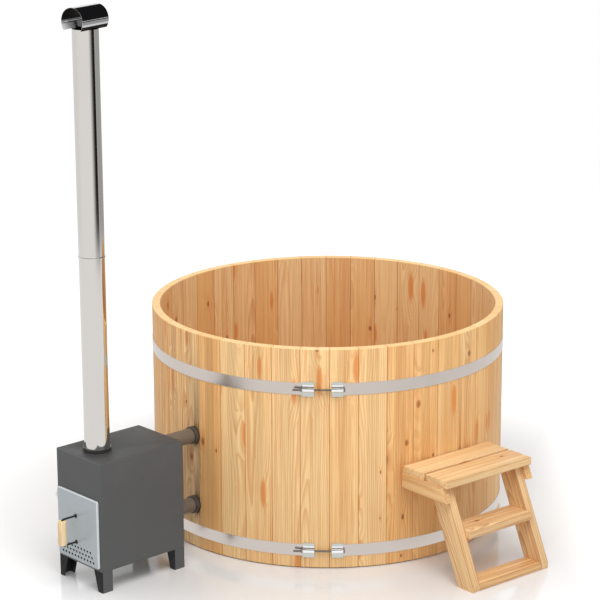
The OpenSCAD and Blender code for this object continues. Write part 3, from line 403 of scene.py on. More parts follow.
def pressed_plate():
    """Plated lugs: dull flats and a round tunnel, with a painted highlight on the tunnel, a painted
    dark line along its middle and painted shadow under it.
    """
    f = Finish("pressed_plate")
    x, y, z = f.place().parts()
    up = z - (HOOP_Z[0] + HOOP_Z[1]) / 2
    off = (up.absolute() - (HOOP_Z[0] - HOOP_Z[1]) / 2) * up.math("SIGN")
    haze = f.noise(f.vector(x * 60.0, y * 60.0, z * 200.0), 1.0, 3.0)
    # Painted highlight on the tunnel, a painted dark line in the middle of it and painted shadow
    # under it.
    tunnel_highlight = off.step(-0.0085, -0.0075) * off.step(0.0225, 0.0205)
    fold = (off - 0.0125).absolute().step(0.0016, 0.0008)
    under_shadow = off.step(-0.0135, -0.0120) * off.step(-0.0085, -0.0095)
    tone = f.mix(tunnel_highlight, (0.66, 0.69, 0.65), (0.97, 0.97, 0.98))
    tone = f.mix((fold + under_shadow) * (haze * 0.3 + 0.72), tone, (0.05, 0.045, 0.04))
    return f.surface(
        Base_Color=tone,
        Metallic=1.0 - fold * 0.5,
        Roughness=(haze - 0.5) * 0.12 + 0.30 - tunnel_highlight * 0.2,
        Normal=f.bump(haze, 0.0001, 0.1),
    )


def leg_paint(outer_y, middle_y):
    """The casing's paint, with near-black painted shade everywhere but on the legs' outer webs."""
    f = Finish("leg_paint")
    place = f.place()
    _, y, _ = place.parts()
    inside = (y - middle_y).absolute().step(outer_y - 0.0006, outer_y - 0.0014)
    cloud = f.noise(place, 30.0, 4.0)
    pimples = f.noise(place, 900.0, 2.0)
    # Painted shade: near-black on every face of the legs but their outer webs.
    painted_shade = inside * (cloud * 0.2 + 0.8)
    return f.surface(
        Base_Color=f.mix(painted_shade, (0.095, 0.096, 0.097), (0.010, 0.010, 0.010)),
        Roughness=(cloud - 0.5) * 0.1 + 0.5 + inside * 0.2,
        Specular_IOR_Level=0.25,
        Normal=f.bump(pimples, 0.0002, 0.15),
    )


def stove_enamel(name, colour, rough, grit=0.5, top=None):
    """Heat-proof paint, a little dusty, with the fine skin that a spray gun leaves. Given the top's
    height and the front's place, the top gets painted shade and its front edge a painted highlight."""
    f = Finish(name)
    place = f.place()
    x, _, z = place.parts()
    skin = f.noise(place, 900.0, 2.0)
    dust = f.noise(place, 7.0, 5.0, 0.6)
    speck = f.noise(place, 130.0, 3.0)
    tone = f.mix(dust.step(0.35, 0.75) * 0.35, colour, tuple(c * 1.22 + 0.004 for c in colour))
    tone = f.mix(speck.step(0.58, 0.75) * 0.25, tone, toned(colour, 0.7))
    if top:
        high, front = top
        # Painted shade darkens the top, and a painted highlight runs along its front edge.
        top_shade = (z - high).step(-0.0022, -0.0014)
        tone = f.mix(top_shade * 0.62, tone, toned(colour, 0.55))
        edge_highlight = (z - high).absolute().step(0.0036, 0.0012)
        edge_highlight = edge_highlight * (x - front).absolute().step(0.0036, 0.0012)
        tone = f.mix(edge_highlight * (speck * 0.5 + 0.45), tone, toned(colour, 3.2))
    return f.surface(
        Base_Color=tone,
        Roughness=(dust - 0.5) * 0.18 + (speck - 0.5) * 0.08 + rough,
        Specular_IOR_Level=0.4,
        Normal=f.bump(skin, 0.00025, grit),
    )


def door_enamel():
    """The door's pale blue-grey stove enamel, smoother than the casing's paint."""
    f = Finish("door_enamel")
    place = f.place()
    _, y, z = place.parts()
    skin = f.noise(place, 240.0, 2.0)
    cloud = f.noise(place, 9.0, 3.0)
    smoke = z.step(0.205, 0.135) * f.noise(place, 60.0, 3.0).step(0.35, 0.7)
    tone = f.mix(cloud * 0.5, (0.44, 0.485, 0.51), (0.39, 0.43, 0.455))
    tone = f.mix(smoke * 0.22, tone, (0.16, 0.17, 0.18))
    # Painted highlight: a pale line along the door's top edge and along one side edge.
    top, side = (at.absolute().step(0.0030, 0.0012) for at in (z - DOOR_TOP, y + DOOR_SIDE))
    tone = f.mix(top.most(side) * 0.75, tone, (0.82, 0.85, 0.87))
    return f.surface(
        Base_Color=tone,
        Roughness=cloud * 0.10 + 0.17,
        Specular_IOR_Level=0.6,
        Normal=f.bump(skin, 0.0003, 0.06),
    )


def sooty_iron():
    """Bare iron that the fire has blackened, with some rust."""
    f = Finish("sooty_iron")
    place = f.place()
    grain = f.noise(place, 260.0, 4.0)
    soot = f.noise(place, 11.0, 5.0, 0.65)
    tone = f.mix(soot.step(0.4, 0.7), (0.035, 0.032, 0.03), (0.012, 0.011, 0.011))
    tone = f.mix(grain.step(0.62, 0.75) * 0.25, tone, (0.12, 0.06, 0.035))
    return f.surface(
        Base_Color=tone,
        Roughness=grain * 0.2 + 0.62,
        Metallic=0.2,
        Normal=f.bump(grain, 0.0006, 0.5),
    )


def seal_rubber():
    """Black rubber with a pale bloom."""
    f = Finish("seal_rubber")
    place = f.place()
    bloom = f.noise(place, 40.0, 4.0)
    tone = f.mix(bloom.step(0.4, 0.8) * 0.4, (0.012, 0.012, 0.012), (0.035, 0.034, 0.033))
    skin = f.bump(bloom, 0.0002, 0.3)
    return f.surface(Base_Color=tone, Roughness=bloom * 0.2 + 0.55, Normal=skin)


def plated_steel(name, colour, rough):
    """Zinc or nickel on screws, nuts and straps."""
    f = Finish(name)
    place = f.place()
    cloud = f.noise(place, 60.0, 4.0)
    scratch = f.noise(place, 420.0, 2.0)
    tone = f.mix(cloud.step(0.3, 0.75) * 0.5, colour, toned(colour, 0.68))
    return f.surface(
        Base_Color=tone,
        Metallic=1.0,
        Roughness=cloud * 0.18 + rough - 0.08,
        Normal=f.bump(scratch, 0.0001, 0.25),
    )


WOOD = {
    "wall": softwood(
        "wall_pine", (0.915, 0.632, 0.310), (0.850, 0.495, 0.193), (0.61, 0.245, 0.075),
        0.0080, 0.80, 1.22, streaky=0.34, sawn=0.7, inside=1.0,
    ),
    "floor": softwood("floor_pine", (0.74, 0.50, 0.26), (0.66, 0.37, 0.16), (0.42, 0.19, 0.07)),
    "bench": softwood(
        "bench_pine", (0.80, 0.55, 0.30), (0.72, 0.42, 0.19), (0.52, 0.23, 0.08), knots=0.8
    ),
    "step": softwood(
        "step_pine", (0.93, 0.66, 0.35), (0.87, 0.54, 0.24), (0.51, 0.205, 0.066),
        0.0046, 0.85, 1.1, streaky=0.45,
    ),
    "grip": softwood(
        "grip_wood", (0.95, 0.76, 0.47), (0.90, 0.66, 0.37), (0.70, 0.42, 0.20),
        0.003, 0.5, 0.0, rough=0.40,
    ),
}
HOOP_STEEL = brushed_steel("hoop_steel", (0.71, 0.64, 0.59), 0.24)
LUG_STEEL = pressed_plate()
FLUE_STEEL = polished_steel("flue_steel", (0.76, 0.735, 0.70), 0.085)
CAP_STEEL = cap_sheet()
BOLT_STEEL = plated_steel("bolt_steel", (0.30, 0.27, 0.25), 0.36)
STRAP_STEEL = plated_steel("strap_steel", (0.62, 0.61, 0.60), 0.28)
TOP_AND_FRONT = (CASING_TOP, CASING_FRONT)
CASING_PAINT = stove_enamel("casing_paint", (0.087, 0.088, 0.089), 0.52, top=TOP_AND_FRONT)
# The water pipes' dark paint has a brown tone that is a painted reflection of the tub's wood.
PIPE_PAINT = stove_enamel("pipe_paint", (0.165, 0.132, 0.100), 0.24, 0.12)
COLLAR_PAINT = stove_enamel("collar_paint", (0.072, 0.064, 0.056), 0.30, 0.15)
SOCKET_PAINT = stove_enamel("socket_paint", (0.036, 0.035, 0.035), 0.20, 0.12)
HINGE_STEEL = plated_steel("hinge_steel", (0.84, 0.84, 0.83), 0.30)
HANDLE_PAINT = stove_enamel("handle_paint", (0.022, 0.022, 0.023), 0.40, 0.2)
DOOR_ENAMEL = door_enamel()
IRON = sooty_iron()
RUBBER = seal_rubber()


# Mesh helpers


def placed(name, data):
    """A new object in the scene."""
    obj = bpy.data.objects.new(name, data)
    bpy.context.scene.collection.objects.link(obj)
    return obj


def painted(mesh, material):
    """Gives a mesh one material and no other."""
    mesh.materials.clear()
    mesh.materials.append(material)


def piece(name, mesh, material, *nodes, body=None):
    """Puts a finished mesh in the scene, on a body, in place of the CAD nodes it stands for."""
    painted(mesh, material)
    obj = placed(name, mesh)
    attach(obj, body or BODY_OF[nodes[0]])
    if nodes:
        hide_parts(*nodes)


def mesh_of(bm, name):
    """A bmesh as a mesh."""
    mesh = bpy.data.meshes.new(name)
    bm.to_mesh(mesh)
    bm.free()
    return mesh


def joined_copy(node):
    """A CAD node's triangles as closed solids with whole flat faces."""
    bm = bmesh.new()
    bm.from_mesh(NODES[node].data)
    bmesh.ops.remove_doubles(bm, verts=bm.verts, dist=2e-6)
    bmesh.ops.dissolve_limit(bm, angle_limit=math.radians(0.4), verts=bm.verts, edges=bm.edges)
    return bm


def solids(bm):
    """The separate solids of a mesh, each a list of vertices."""
    seen = set()
    found = []
    for start in bm.verts:
        if start in seen:
            continue
        seen.add(start)
        group, queue = [], [start]
        while queue:
            v = queue.pop()
            group.append(v)
            for e in v.link_edges:
                w = e.other_vert(v)
                if w not in seen:
                    seen.add(w)
                    queue.append(w)
        found.append(group)
    found.sort(key=lambda g: tuple(round(c, 4) for c in sum((v.co for v in g), Vector()) / len(g)))
    return found


def board_axes(group, core):
    """The long direction of a board and the normal of its broadest face. Of equal faces it takes
    the one farther from the core of the whole piece, so that every run gives the same grain."""
    edges = [e for v in group for e in v.link_edges]
    faces = [f for v in group for f in v.link_faces]
    longest = max(edges, key=lambda e: e.calc_length())
    along = (longest.verts[0].co - longest.verts[1].co).normalized()
    broad = max(faces, key=lambda f: (f.calc_area(), (f.calc_center_median() - core).length)).normal
    into = (broad - along * broad.dot(along)).normalized()
    return along, into


def turned_from(point, turn):
    """A point's azimuth about the tub's axis, from a given azimuth."""
    return (math.atan2(point.y, point.x) - turn + math.pi) % (2 * math.pi) - math.pi


def wood_layers(bm):
    """The three vectors that softwood() reads."""
    return [bm.verts.layers.float_vector.new(name) for name in ("grain", "timber", "board")]


def mark_grain(bm, seed, polar):
    """Writes softwood()'s vectors on every board of a mesh. Polar boards stand round the tub."""
    rng = np.random.default_rng(seed)
    grain, timber, board = wood_layers(bm)
    core = sum((v.co for v in bm.verts), Vector()) / len(bm.verts)
    for group in solids(bm):
        middle = sum((v.co for v in group), Vector()) / len(group)
        number = rng.random()
        heart = (rng.uniform(-0.09, 0.09), -rng.uniform(0.02, 0.11) * rng.choice((-1, 1)))
        start = rng.uniform(1.0, 40.0)
        places = []
        if polar:
            # The outer face gives a stave's middle, because holes draw the mean of its points aside
            mid_r = TUB_R - WALL_T / 2
            outer_face = TUB_R - 0.003
            rough = math.atan2(middle.y, middle.x)
            outer = [v.co for v in group if math.hypot(v.co.x, v.co.y) > outer_face]
            turns = [turned_from(point, rough) for point in outer]
            mid_turn = rough + (min(turns) + max(turns)) / 2
            for v in group:
                into = math.hypot(v.co.x, v.co.y) - mid_r
                places.append((turned_from(v.co, mid_turn) * mid_r, v.co.z - middle.z, into))
            half = (mid_r * math.pi / STAVES, max(p[1] for p in places), WALL_T / 2)
        else:
            along, into = board_axes(group, core)
            axes = (into.cross(along), along, into)
            ends = [[v.co.dot(axis) for v in group] for axis in axes]
            centre = [(min(reach) + max(reach)) / 2 for reach in ends]
            half = tuple((max(reach) - min(reach)) / 2 for reach in ends)
            for v in group:
                places.append(tuple(v.co.dot(axis) - mid for axis, mid in zip(axes, centre)))
        for v, place in zip(group, places):
            v[grain] = (place[0], place[1] + start, place[2])
            v[board] = (half[0], half[1] + start, half[2])
            v[timber] = (number, *heart)


def soften(obj, width, angle):
    """Rounds a piece's arrises and shades it smooth between them."""
    bevel = obj.modifiers.new("arris", "BEVEL")
    bevel.width = width
    bevel.segments = 2
    bevel.limit_method = "ANGLE"
    bevel.angle_limit = math.radians(angle)
    bevel.harden_normals = True
    bevel.use_clamp_overlap = True
    for polygon in obj.data.polygons:
        polygon.use_smooth = True


def plain_mesh(obj):
    """An object's mesh with its modifiers worked in. The object goes."""
    bpy.context.view_layer.update()
    graph = bpy.context.evaluated_depsgraph_get()
    made = bpy.data.meshes.new_from_object(obj.evaluated_get(graph), depsgraph=graph)
    old = obj.data
    bpy.data.objects.remove(obj)
    bpy.data.meshes.remove(old)
    return made


def wooden(name, nodes, material, seed, arris, polar=False):
    """Boards cut to the CAD's shape, with grain along each and softened arrises."""
    whole = bmesh.new()
    for node in nodes:
        mesh = mesh_of(joined_copy(node), "part")
        whole.from_mesh(mesh)
        bpy.data.meshes.remove(mesh)
    mark_grain(whole, seed, polar)
    mesh = mesh_of(whole, name)
    if arris:
        obj = placed(name, mesh)
        soften(obj, arris, 35)
        mesh = plain_mesh(obj)
    piece(name, mesh, material, *nodes)


def grid_mesh(name, rows, closed_v=False, caps=False):
    """A mesh through rows of points: round each row, and from row to row."""
    rows = np.asarray(rows, float)
    count, width = rows.shape[:2]
    points = rows.reshape(-1, 3)
    faces = []
    for i in range(count if closed_v else count - 1):
        for j in range(width):
            a, b = i * width + j, i * width + (j + 1) % width
            c, d = (i + 1) % count * width + (j + 1) % width, (i + 1) % count * width + j
            faces.append((a, b, c, d))
    if caps:
        faces.append(tuple(reversed(range(width))))
        faces.append(tuple(range((count - 1) * width, count * width)))
    mesh = bpy.data.meshes.new(name)
    mesh.from_pydata([tuple(p) for p in points], [], faces)
    return outward(mesh)


def outward(mesh):
    """Turns every face outwards and shades it smooth."""
    bm = bmesh.new()
    bm.from_mesh(mesh)
    bmesh.ops.recalc_face_normals(bm, faces=bm.faces)
    bm.to_mesh(mesh)
    bm.free()
    mesh.polygons.foreach_set("use_smooth", [True] * len(mesh.polygons))
    mesh.update()
    return mesh


def sharp_over(mesh, degrees):
    """Keeps edges sharper than an angle crisp on a smooth mesh."""
    mesh.set_sharp_from_angle(angle=math.radians(degrees))
    return mesh


def merge_meshes(name, meshes):
    whole = bmesh.new()
    for mesh in meshes:
        whole.from_mesh(mesh)
        bpy.data.meshes.remove(mesh)
    return mesh_of(whole, name)


def turned(name, profile, segments):
    """A solid turned about Z from a closed profile of radii and heights, none on the axis."""
    turns = np.linspace(0, 2 * math.pi, segments, endpoint=False)
    rows = [[(r * math.cos(t), r * math.sin(t), z) for t in turns] for r, z in profile]
    return grid_mesh(name, rows, closed_v=True)


def ring_mesh(name, inner, outer, low, high, radii, steps, segments):
    """A ring about Z whose section is rounded at each corner, from the inner lower one on."""
    corners = [(inner, low), (outer, low), (outer, high), (inner, high)]
    made = []
    for i, corner in enumerate(corners):
        p = Vector(corner)
        before = Vector(corners[i - 1]) - p
        after = Vector(corners[(i + 1) % 4]) - p
        r = min(radii[i], before.length * 0.49, after.length * 0.49)
        if r <= 0:
            made.append(tuple(p))
            continue
        start, end = p + before.normalized() * r, p + after.normalized() * r
        for k in range(steps + 1):
            s = k / steps
            made.append(tuple(start * (1 - s) ** 2 + p * 2 * s * (1 - s) + end * s**2))
    return turned(name, made, segments)


def moved(mesh, matrix):
    mesh.transform(matrix)
    return mesh


# The wooden pieces

wooden("stave_wall", ["staves"], WOOD["wall"], 11, 0, polar=True)
wooden("floor_planks", ["floor_boards"], WOOD["floor"], 23, 0.001)
wooden("floor_bearer_beams", ["floor_bearers"], WOOD["floor"], 29, 0.002)
wooden("bench_seat", ["bench_slats"], WOOD["bench"], 31, 0.003)
BENCH_FRAME = ("bench_arms", "bench_posts", "bench_wall_blocks")
wooden("bench_frame", BENCH_FRAME, WOOD["bench"], 37, 0.0015)
STEP_BOARDS = ("step_top_boards", "step_tread", "step_bottom_bar")
wooden("step_boards", STEP_BOARDS, WOOD["step"], 43, 0.003)
STEP_FRAME = ("step_legs", "step_brackets", "step_cleats", "step_ledger")
wooden("step_frame", STEP_FRAME, WOOD["step"], 47, 0.002)

# Geometry Nodes for what repeats


class Recipe:
    """A Geometry Nodes tree that is built node by node and worked into plain mesh."""

    def __init__(self, name, **sizes):
        self.tree = bpy.data.node_groups.new(name, "GeometryNodeTree")
        panel = self.tree.interface
        self.sockets = {}
        panel.new_socket("Geometry", in_out="INPUT", socket_type="NodeSocketGeometry")
        panel.new_socket("Geometry", in_out="OUTPUT", socket_type="NodeSocketGeometry")
        for key, value in sizes.items():
            kind = "NodeSocketInt" if isinstance(value, int) else "NodeSocketFloat"
            socket = panel.new_socket(key, in_out="INPUT", socket_type=kind)
            socket.default_value = value
            self.sockets[key] = (socket.identifier, value)
        paint = panel.new_socket("finish", in_out="INPUT", socket_type="NodeSocketMaterial")
        self.sockets["finish"] = (paint.identifier, None)
        self.inputs = self.tree.nodes.new("NodeGroupInput")
        self.outputs = self.tree.nodes.new("NodeGroupOutput")

    def size(self, key):
        return self.inputs.outputs[key]

    def node(self, kind, settings, *inputs, **named):
        node = self.tree.nodes.new(kind)
        for key, value in settings.items():
            setattr(node, key, value)
        for socket, value in zip(node.inputs, inputs):
            self.give(socket, value)
        for key, value in named.items():
            self.give(node.inputs[key.replace("_", " ")], value)
        return node

    def give(self, socket, value):
        if isinstance(value, bpy.types.NodeSocket):
            self.tree.links.new(value, socket)
        elif value is not None:
            socket.default_value = value

    def math(self, operation, first, second):
        return self.node("ShaderNodeMath", {"operation": operation}, first, second).outputs[0]

    def ends(self, instances, smooth=True):
        """Closes the tree: real mesh, shaded and with its finish."""
        real = self.node("GeometryNodeRealizeInstances", {}, Geometry=instances).outputs[0]
        shade = self.node("GeometryNodeSetShadeSmooth", {}, real, Shade_Smooth=smooth).outputs[0]
        done = self.node("GeometryNodeSetMaterial", {}, shade, Material=self.size("finish"))
        self.tree.links.new(done.outputs[0], self.outputs.inputs[0])

    def made(self, mesh, finish, **sizes):
        """The recipe worked on a mesh, as a plain mesh."""
        obj = placed(self.tree.name, mesh)
        work = obj.modifiers.new("recipe", "NODES")
        work.node_group = self.tree
        for key, (identifier, value) in self.sockets.items():
            work[identifier] = finish if key == "finish" else sizes.get(key, value)
        return plain_mesh(obj)


def spots(places):
    """Loose points, each with the way it faces, for a recipe to work on."""
    mesh = bpy.data.meshes.new("spots")
    mesh.from_pydata([tuple(p) for p, _ in places], [], [])
    facing = mesh.attributes.new("facing", "FLOAT_VECTOR", "POINT")
    facing.data.foreach_set("vector", [c for _, n in places for c in n])
    return mesh


def stud_recipe():
    """Low round heads, one on each point."""
    r = Recipe("stud_heads", radius=0.004, height=0.0012, sides=20)
    top = r.math("MULTIPLY", r.size("radius"), 0.55)
    head = r.node(
        "GeometryNodeMeshCone", {}, Vertices=r.size("sides"), Side_Segments=2,
        Radius_Top=top, Radius_Bottom=r.size("radius"), Depth=r.size("height"),
    ).outputs["Mesh"]
    vectors = {"data_type": "FLOAT_VECTOR"}
    facing = r.node("GeometryNodeInputNamedAttribute", vectors, Name="facing").outputs[0]
    turn = r.node("FunctionNodeAlignRotationToVector", {"axis": "Z"}, Vector=facing).outputs[0]
    points = r.inputs.outputs[0]
    put = r.node("GeometryNodeInstanceOnPoints", {}, points, Instance=head, Rotation=turn)
    r.ends(put.outputs[0], smooth=False)
    return r


def weld_recipe():
    """A weld bead: drops that overlap round a ring."""
    r = Recipe("weld_bead", radius=0.038, drops=80, drop=0.0024)
    ring = r.node("GeometryNodeCurvePrimitiveCircle", {}, Radius=r.size("radius"), Resolution=96)
    count = {"mode": "COUNT"}
    points = r.node("GeometryNodeCurveToPoints", count, ring.outputs[0], Count=r.size("drops"))
    drop = r.node("GeometryNodeMeshIcoSphere", {}, Radius=r.size("drop"), Subdivisions=2)
    wobble = r.node("FunctionNodeRandomValue", {"data_type": "FLOAT"}, Seed=5)
    smallest, largest = [s for s in wobble.inputs if s.type == "VALUE"][:2]
    smallest.default_value, largest.default_value = 0.82, 1.12
    put = r.node(
        "GeometryNodeInstanceOnPoints", {}, points.outputs["Points"], Instance=drop.outputs["Mesh"],
        Rotation=points.outputs["Rotation"],
        Scale=[s for s in wobble.outputs if s.type == "VALUE"][0],
    )
    r.ends(put.outputs[0])
    return r


def thread_recipe():
    """A screw thread: a sharp ridge that winds along +Z."""
    r = Recipe("bolt_thread", radius=0.0048, pitch=0.0015, length=0.05, ridge=0.0007)
    turns = r.math("DIVIDE", r.size("length"), r.size("pitch"))
    radius = r.size("radius")
    helix = r.node(
        "GeometryNodeCurveSpiral", {}, Resolution=16, Rotations=turns,
        Start_Radius=radius, End_Radius=radius, Height=r.size("length"),
    ).outputs[0]
    ridge = r.node("GeometryNodeCurvePrimitiveCircle", {}, Radius=r.size("ridge"), Resolution=4)
    swept = r.node("GeometryNodeCurveToMesh", {}, helix, ridge.outputs[0], Fill_Caps=True)
    r.ends(swept.outputs[0], smooth=False)
    return r


STUDS = stud_recipe()
WELDS = weld_recipe()
THREADS = thread_recipe()
NOTHING = bpy.data.meshes.new("nothing")


# The hoops' lugs and bolts


def at_hoop_ends(z):
    """Where a hoop's open ends are: +X out of the tub, +Y along the band to the right."""
    return Matrix.Rotation(HOOP_TURN, 4, "Z") @ Matrix.Translation((0, 0, z))


def lug_mesh(side):
    """A lug pressed from one plate: two flanges and a round tunnel, with soft bends between."""
    plate, tunnel, bend, corner, edge = 0.0025, 0.0115, 0.0045, 0.0035, 0.0010
    half, face, fold = LUG_HIGH / 2, HOOP_R + plate, tunnel + bend - 0.0002
    outer = [(face, half - (half - fold) * k / 4) for k in range(5)]
    for k in range(1, 6):
        a = math.pi / 2 * k / 6
        outer.append((face + bend * (1 - math.cos(a)), fold - bend * math.sin(a)))
    lower = [(x, -z) for x, z in outer[::-1]]
    for k in range(17):
        a = math.radians(62 - 124 * k / 16)
        outer.append((BOLT_X + tunnel * math.cos(a), tunnel * math.sin(a)))
    back = [(HOOP_R, half * share) for share in (-1.0, -0.5, 0.0, 0.5, 1.0)]
    profile = outer + lower + back
    y0, y1 = side * LUG_MIDDLE - LUG_LONG / 2, side * LUG_MIDDLE + LUG_LONG / 2
    near_ends = [0.0, 0.12, 0.3, 0.6, 1.0]
    cuts = [y0 + corner * m for m in near_ends] + [y0 + LUG_LONG * k / 6 for k in range(1, 6)]
    cuts += [y1 - corner * m for m in near_ends[::-1]]
    rows = []
    for y in cuts:
        d = min(y - y0, y1 - y, corner)
        cut = corner - math.sqrt(max(corner**2 - (corner - d) ** 2, 0.0))
        soft = edge - math.sqrt(max(edge**2 - max(edge - d, 0.0) ** 2, 0.0))
        sag = HOOP_R - math.sqrt(HOOP_R**2 - y**2)
        row = []
        for x, z in profile:
            reach = math.copysign(min(abs(z), half - cut), z)
            lift = x - soft if x > HOOP_R + 0.0005 else x
            row.append((lift - sag, y, reach))
        rows.append(row)
    return sharp_over(grid_mesh("lug", rows, caps=True), 42)


def hex_mesh(name, low, high, bore=0.0):
    """A hexagon along Z with its corners turned off, as a bolt head or a nut is."""
    sides, chamfer, corner_r = 48, 0.0012, HEX_CORNERS / 2
    flat_r = corner_r * math.cos(math.pi / 6)

    def ring(r_limit, z):
        row = []
        for k in range(sides):
            a = 2 * math.pi * k / sides
            hexed = flat_r / math.cos((a + math.pi / 6) % (math.pi / 3) - math.pi / 6)
            r = min(hexed, r_limit)
            row.append((r * math.cos(a), r * math.sin(a), z))
        return row

    rows = [ring(flat_r * 0.96, low), ring(corner_r, low + chamfer)]
    rows += [ring(corner_r, high - chamfer), ring(flat_r * 0.96, high)]
    if bore:
        rows += [ring(bore / 2, high), ring(bore / 2, low)]
    return sharp_over(grid_mesh(name, rows, closed_v=bool(bore), caps=not bore), 25)


def rod_mesh(name, path, radius, segments):
    """A round rod along a path of points, with its ends closed."""
    path = [Vector(p) for p in path]
    tangents = [(b - a).normalized() for a, b in zip(path[:1] + path, path[1:] + path[-1:])]
    normal = tangents[0].orthogonal().normalized()
    rows = []
    for p, t in zip(path, tangents):
        normal = (normal - t * normal.dot(t)).normalized()
        side = t.cross(normal)
        turns = [2 * math.pi * k / segments for k in range(segments)]
        rows.append([p + (normal * math.cos(a) + side * math.sin(a)) * radius for a in turns])
    return sharp_over(grid_mesh(name, rows, caps=True), 40)


def bolt_parts(z):
    """One tension bolt: its rod, threads, head, nut and two washers."""
    rod_r, thread_r, pin, tail = 0.0046, 0.0045, 0.0003, 0.046
    end = LUG_MIDDLE + LUG_LONG / 2
    seat, tip = end + WASHER_T, -end - tail
    nut_end = -seat - 0.008
    lay = Matrix.Translation((BOLT_X, 0, 0)) @ Matrix.Rotation(-math.pi / 2, 4, "X")
    put = at_hoop_ends(z) @ lay
    section = [(pin, tip), (0.0040, tip), (rod_r, tip + 0.0008), (rod_r, seat), (pin, seat)]
    rod = sharp_over(turned("rod", section, 24), 40)

    def thread(start, length):
        made = THREADS.made(NOTHING.copy(), BOLT_STEEL, length=length, radius=thread_r)
        return moved(made, Matrix.Translation((0, 0, start)))

    head = hex_mesh("head", seat, seat + 0.0065)
    bolt = [rod, thread(tip + 0.0004, nut_end - tip - 0.0004), thread(-0.0415, 0.083), head]
    nut = hex_mesh("nut", nut_end, -seat, bore=0.0094)
    washers = []
    for low in (-seat, end):
        ring = ring_mesh("washer", 0.0056, 0.0105, low, low + WASHER_T, [0.0005] * 4, 2, 40)
        washers.append(sharp_over(ring, 40))
    return [moved(m, put) for m in bolt], moved(nut, put), [moved(m, put) for m in washers]


bolts, nuts, washers, lugs = [], [], [], []
for z in HOOP_Z:
    bolt, nut, pair = bolt_parts(z)
    bolts += bolt
    nuts.append(nut)
    washers += pair
    lugs += [moved(lug_mesh(side), at_hoop_ends(z)) for side in (-1, 1)]
piece("pressed_lugs", merge_meshes("pressed_lugs", lugs), LUG_STEEL, "hoop_lugs")
piece("threaded_bolts", merge_meshes("threaded_bolts", bolts), BOLT_STEEL, "hoop_bolts")
piece("chamfered_nuts", merge_meshes("chamfered_nuts", nuts), BOLT_STEEL, "hoop_nuts")
piece("round_washers", merge_meshes("round_washers", washers), STRAP_STEEL, "hoop_washers")


# The stove door's handle


def handle_meshes():
    """One bent rod with two round plates on the door, and its turned wooden grip."""
    root, y, z_mid, half = -1.6228, 0.011, 0.283, 0.0665
    out, rod_r, bend = DOOR_FACE_X - 0.082, 0.005, 0.008
    arm = [(root + (out + bend - root) * k / 4, y, z_mid + half) for k in range(5)]
    for k in range(1, 8):
        a = math.pi / 2 * k / 8
        x = out + bend - bend * math.sin(a)
        arm.append((x, y, z_mid + half - bend + bend * math.cos(a)))
    bar = [(out, y, z_mid + (half - bend) * (1 - k / 2)) for k in range(5)]
    lower = [(x, y, 2 * z_mid - z) for x, y, z in arm[::-1]]
    rod = [rod_mesh("rod", arm + bar + lower, rod_r, 20)]
    for side in (-1, 1):
        plate = ring_mesh("plate", 0.0046, 0.0105, 0.0, 0.002, [0, 0, 0.0012, 0], 3, 40)
        foot = Matrix.Translation((DOOR_FACE_X, y, z_mid + side * half))
        rod.append(moved(sharp_over(plate, 40), foot @ Matrix.Rotation(-math.pi / 2, 4, "Y")))

    reach = 0.0612
    turned_wood = ring_mesh("grip", 0.0051, 0.021, -reach, reach, [0, 0.0045, 0.0045, 0], 5, 64)
    bm = bmesh.new()
    bm.from_mesh(turned_wood)
    grain, timber, board = wood_layers(bm)
    for v in bm.verts:
        v[grain] = (v.co.x, v.co.z + 7.0, v.co.y)
        v[timber] = (0.35, 0.05, 0.035)
        # No arris and no sawn end is near
        v[board] = (1.0, 9.0, 1.0)
    bm.to_mesh(turned_wood)
    bm.free()
    moved(turned_wood, Matrix.Translation((out, y, z_mid)))
    return merge_meshes("handle", rod), sharp_over(turned_wood, 50)


handle, grip = handle_meshes()
piece("bent_handle", handle, HANDLE_PAINT, "door_handle_bar")
piece("turned_grip", grip, WOOD["grip"], "door_grip")


# Folded sheet: soft edges, and the welds that hold it together

casing = placed("folded_casing", mesh_of(joined_copy("stove_casing"), "folded_casing"))
soften(casing, 0.0012, 40)
piece("folded_casing", plain_mesh(casing), CASING_PAINT, "stove_casing")


def bead(radius, place, drop):
    """One weld bead round +Z of a place."""
    count = round(2 * math.pi * radius / (drop * 1.25))
    made = WELDS.made(NOTHING.copy(), COLLAR_PAINT, radius=radius, drops=count, drop=drop)
    return moved(made, place)


# Each weld on a pipe: its radius, its place along the pipe and the size of its drops
PIPE_WELDS = ((0.0470, -1.1094, 0.0024), (0.0384, -1.0897, 0.0020))
beads = [bead(0.0684, Matrix.Translation((FLUE_X, 0, CASING_TOP + 0.0004)), 0.0026)]
for z in PIPE_Z:
    for radius, x, drop in PIPE_WELDS:
        place = Matrix.Translation((x, 0, z)) @ Matrix.Rotation(math.pi / 2, 4, "Y")
        beads.append(bead(radius, place, drop))
piece("weld_beads", merge_meshes("weld_beads", beads), COLLAR_PAINT, body="tub_and_stove")

rim = ring_mesh(
    "rim", inner=0.0618, outer=0.0655, low=1.6050, high=1.6120,
    radii=[0, 0.0032, 0.0032, 0], steps=6, segments=96,
)
moved(rim, Matrix.Translation((FLUE_X, 0, 0)))
piece("flue_joint_rim", rim, FLUE_STEEL, body="tub_and_stove")


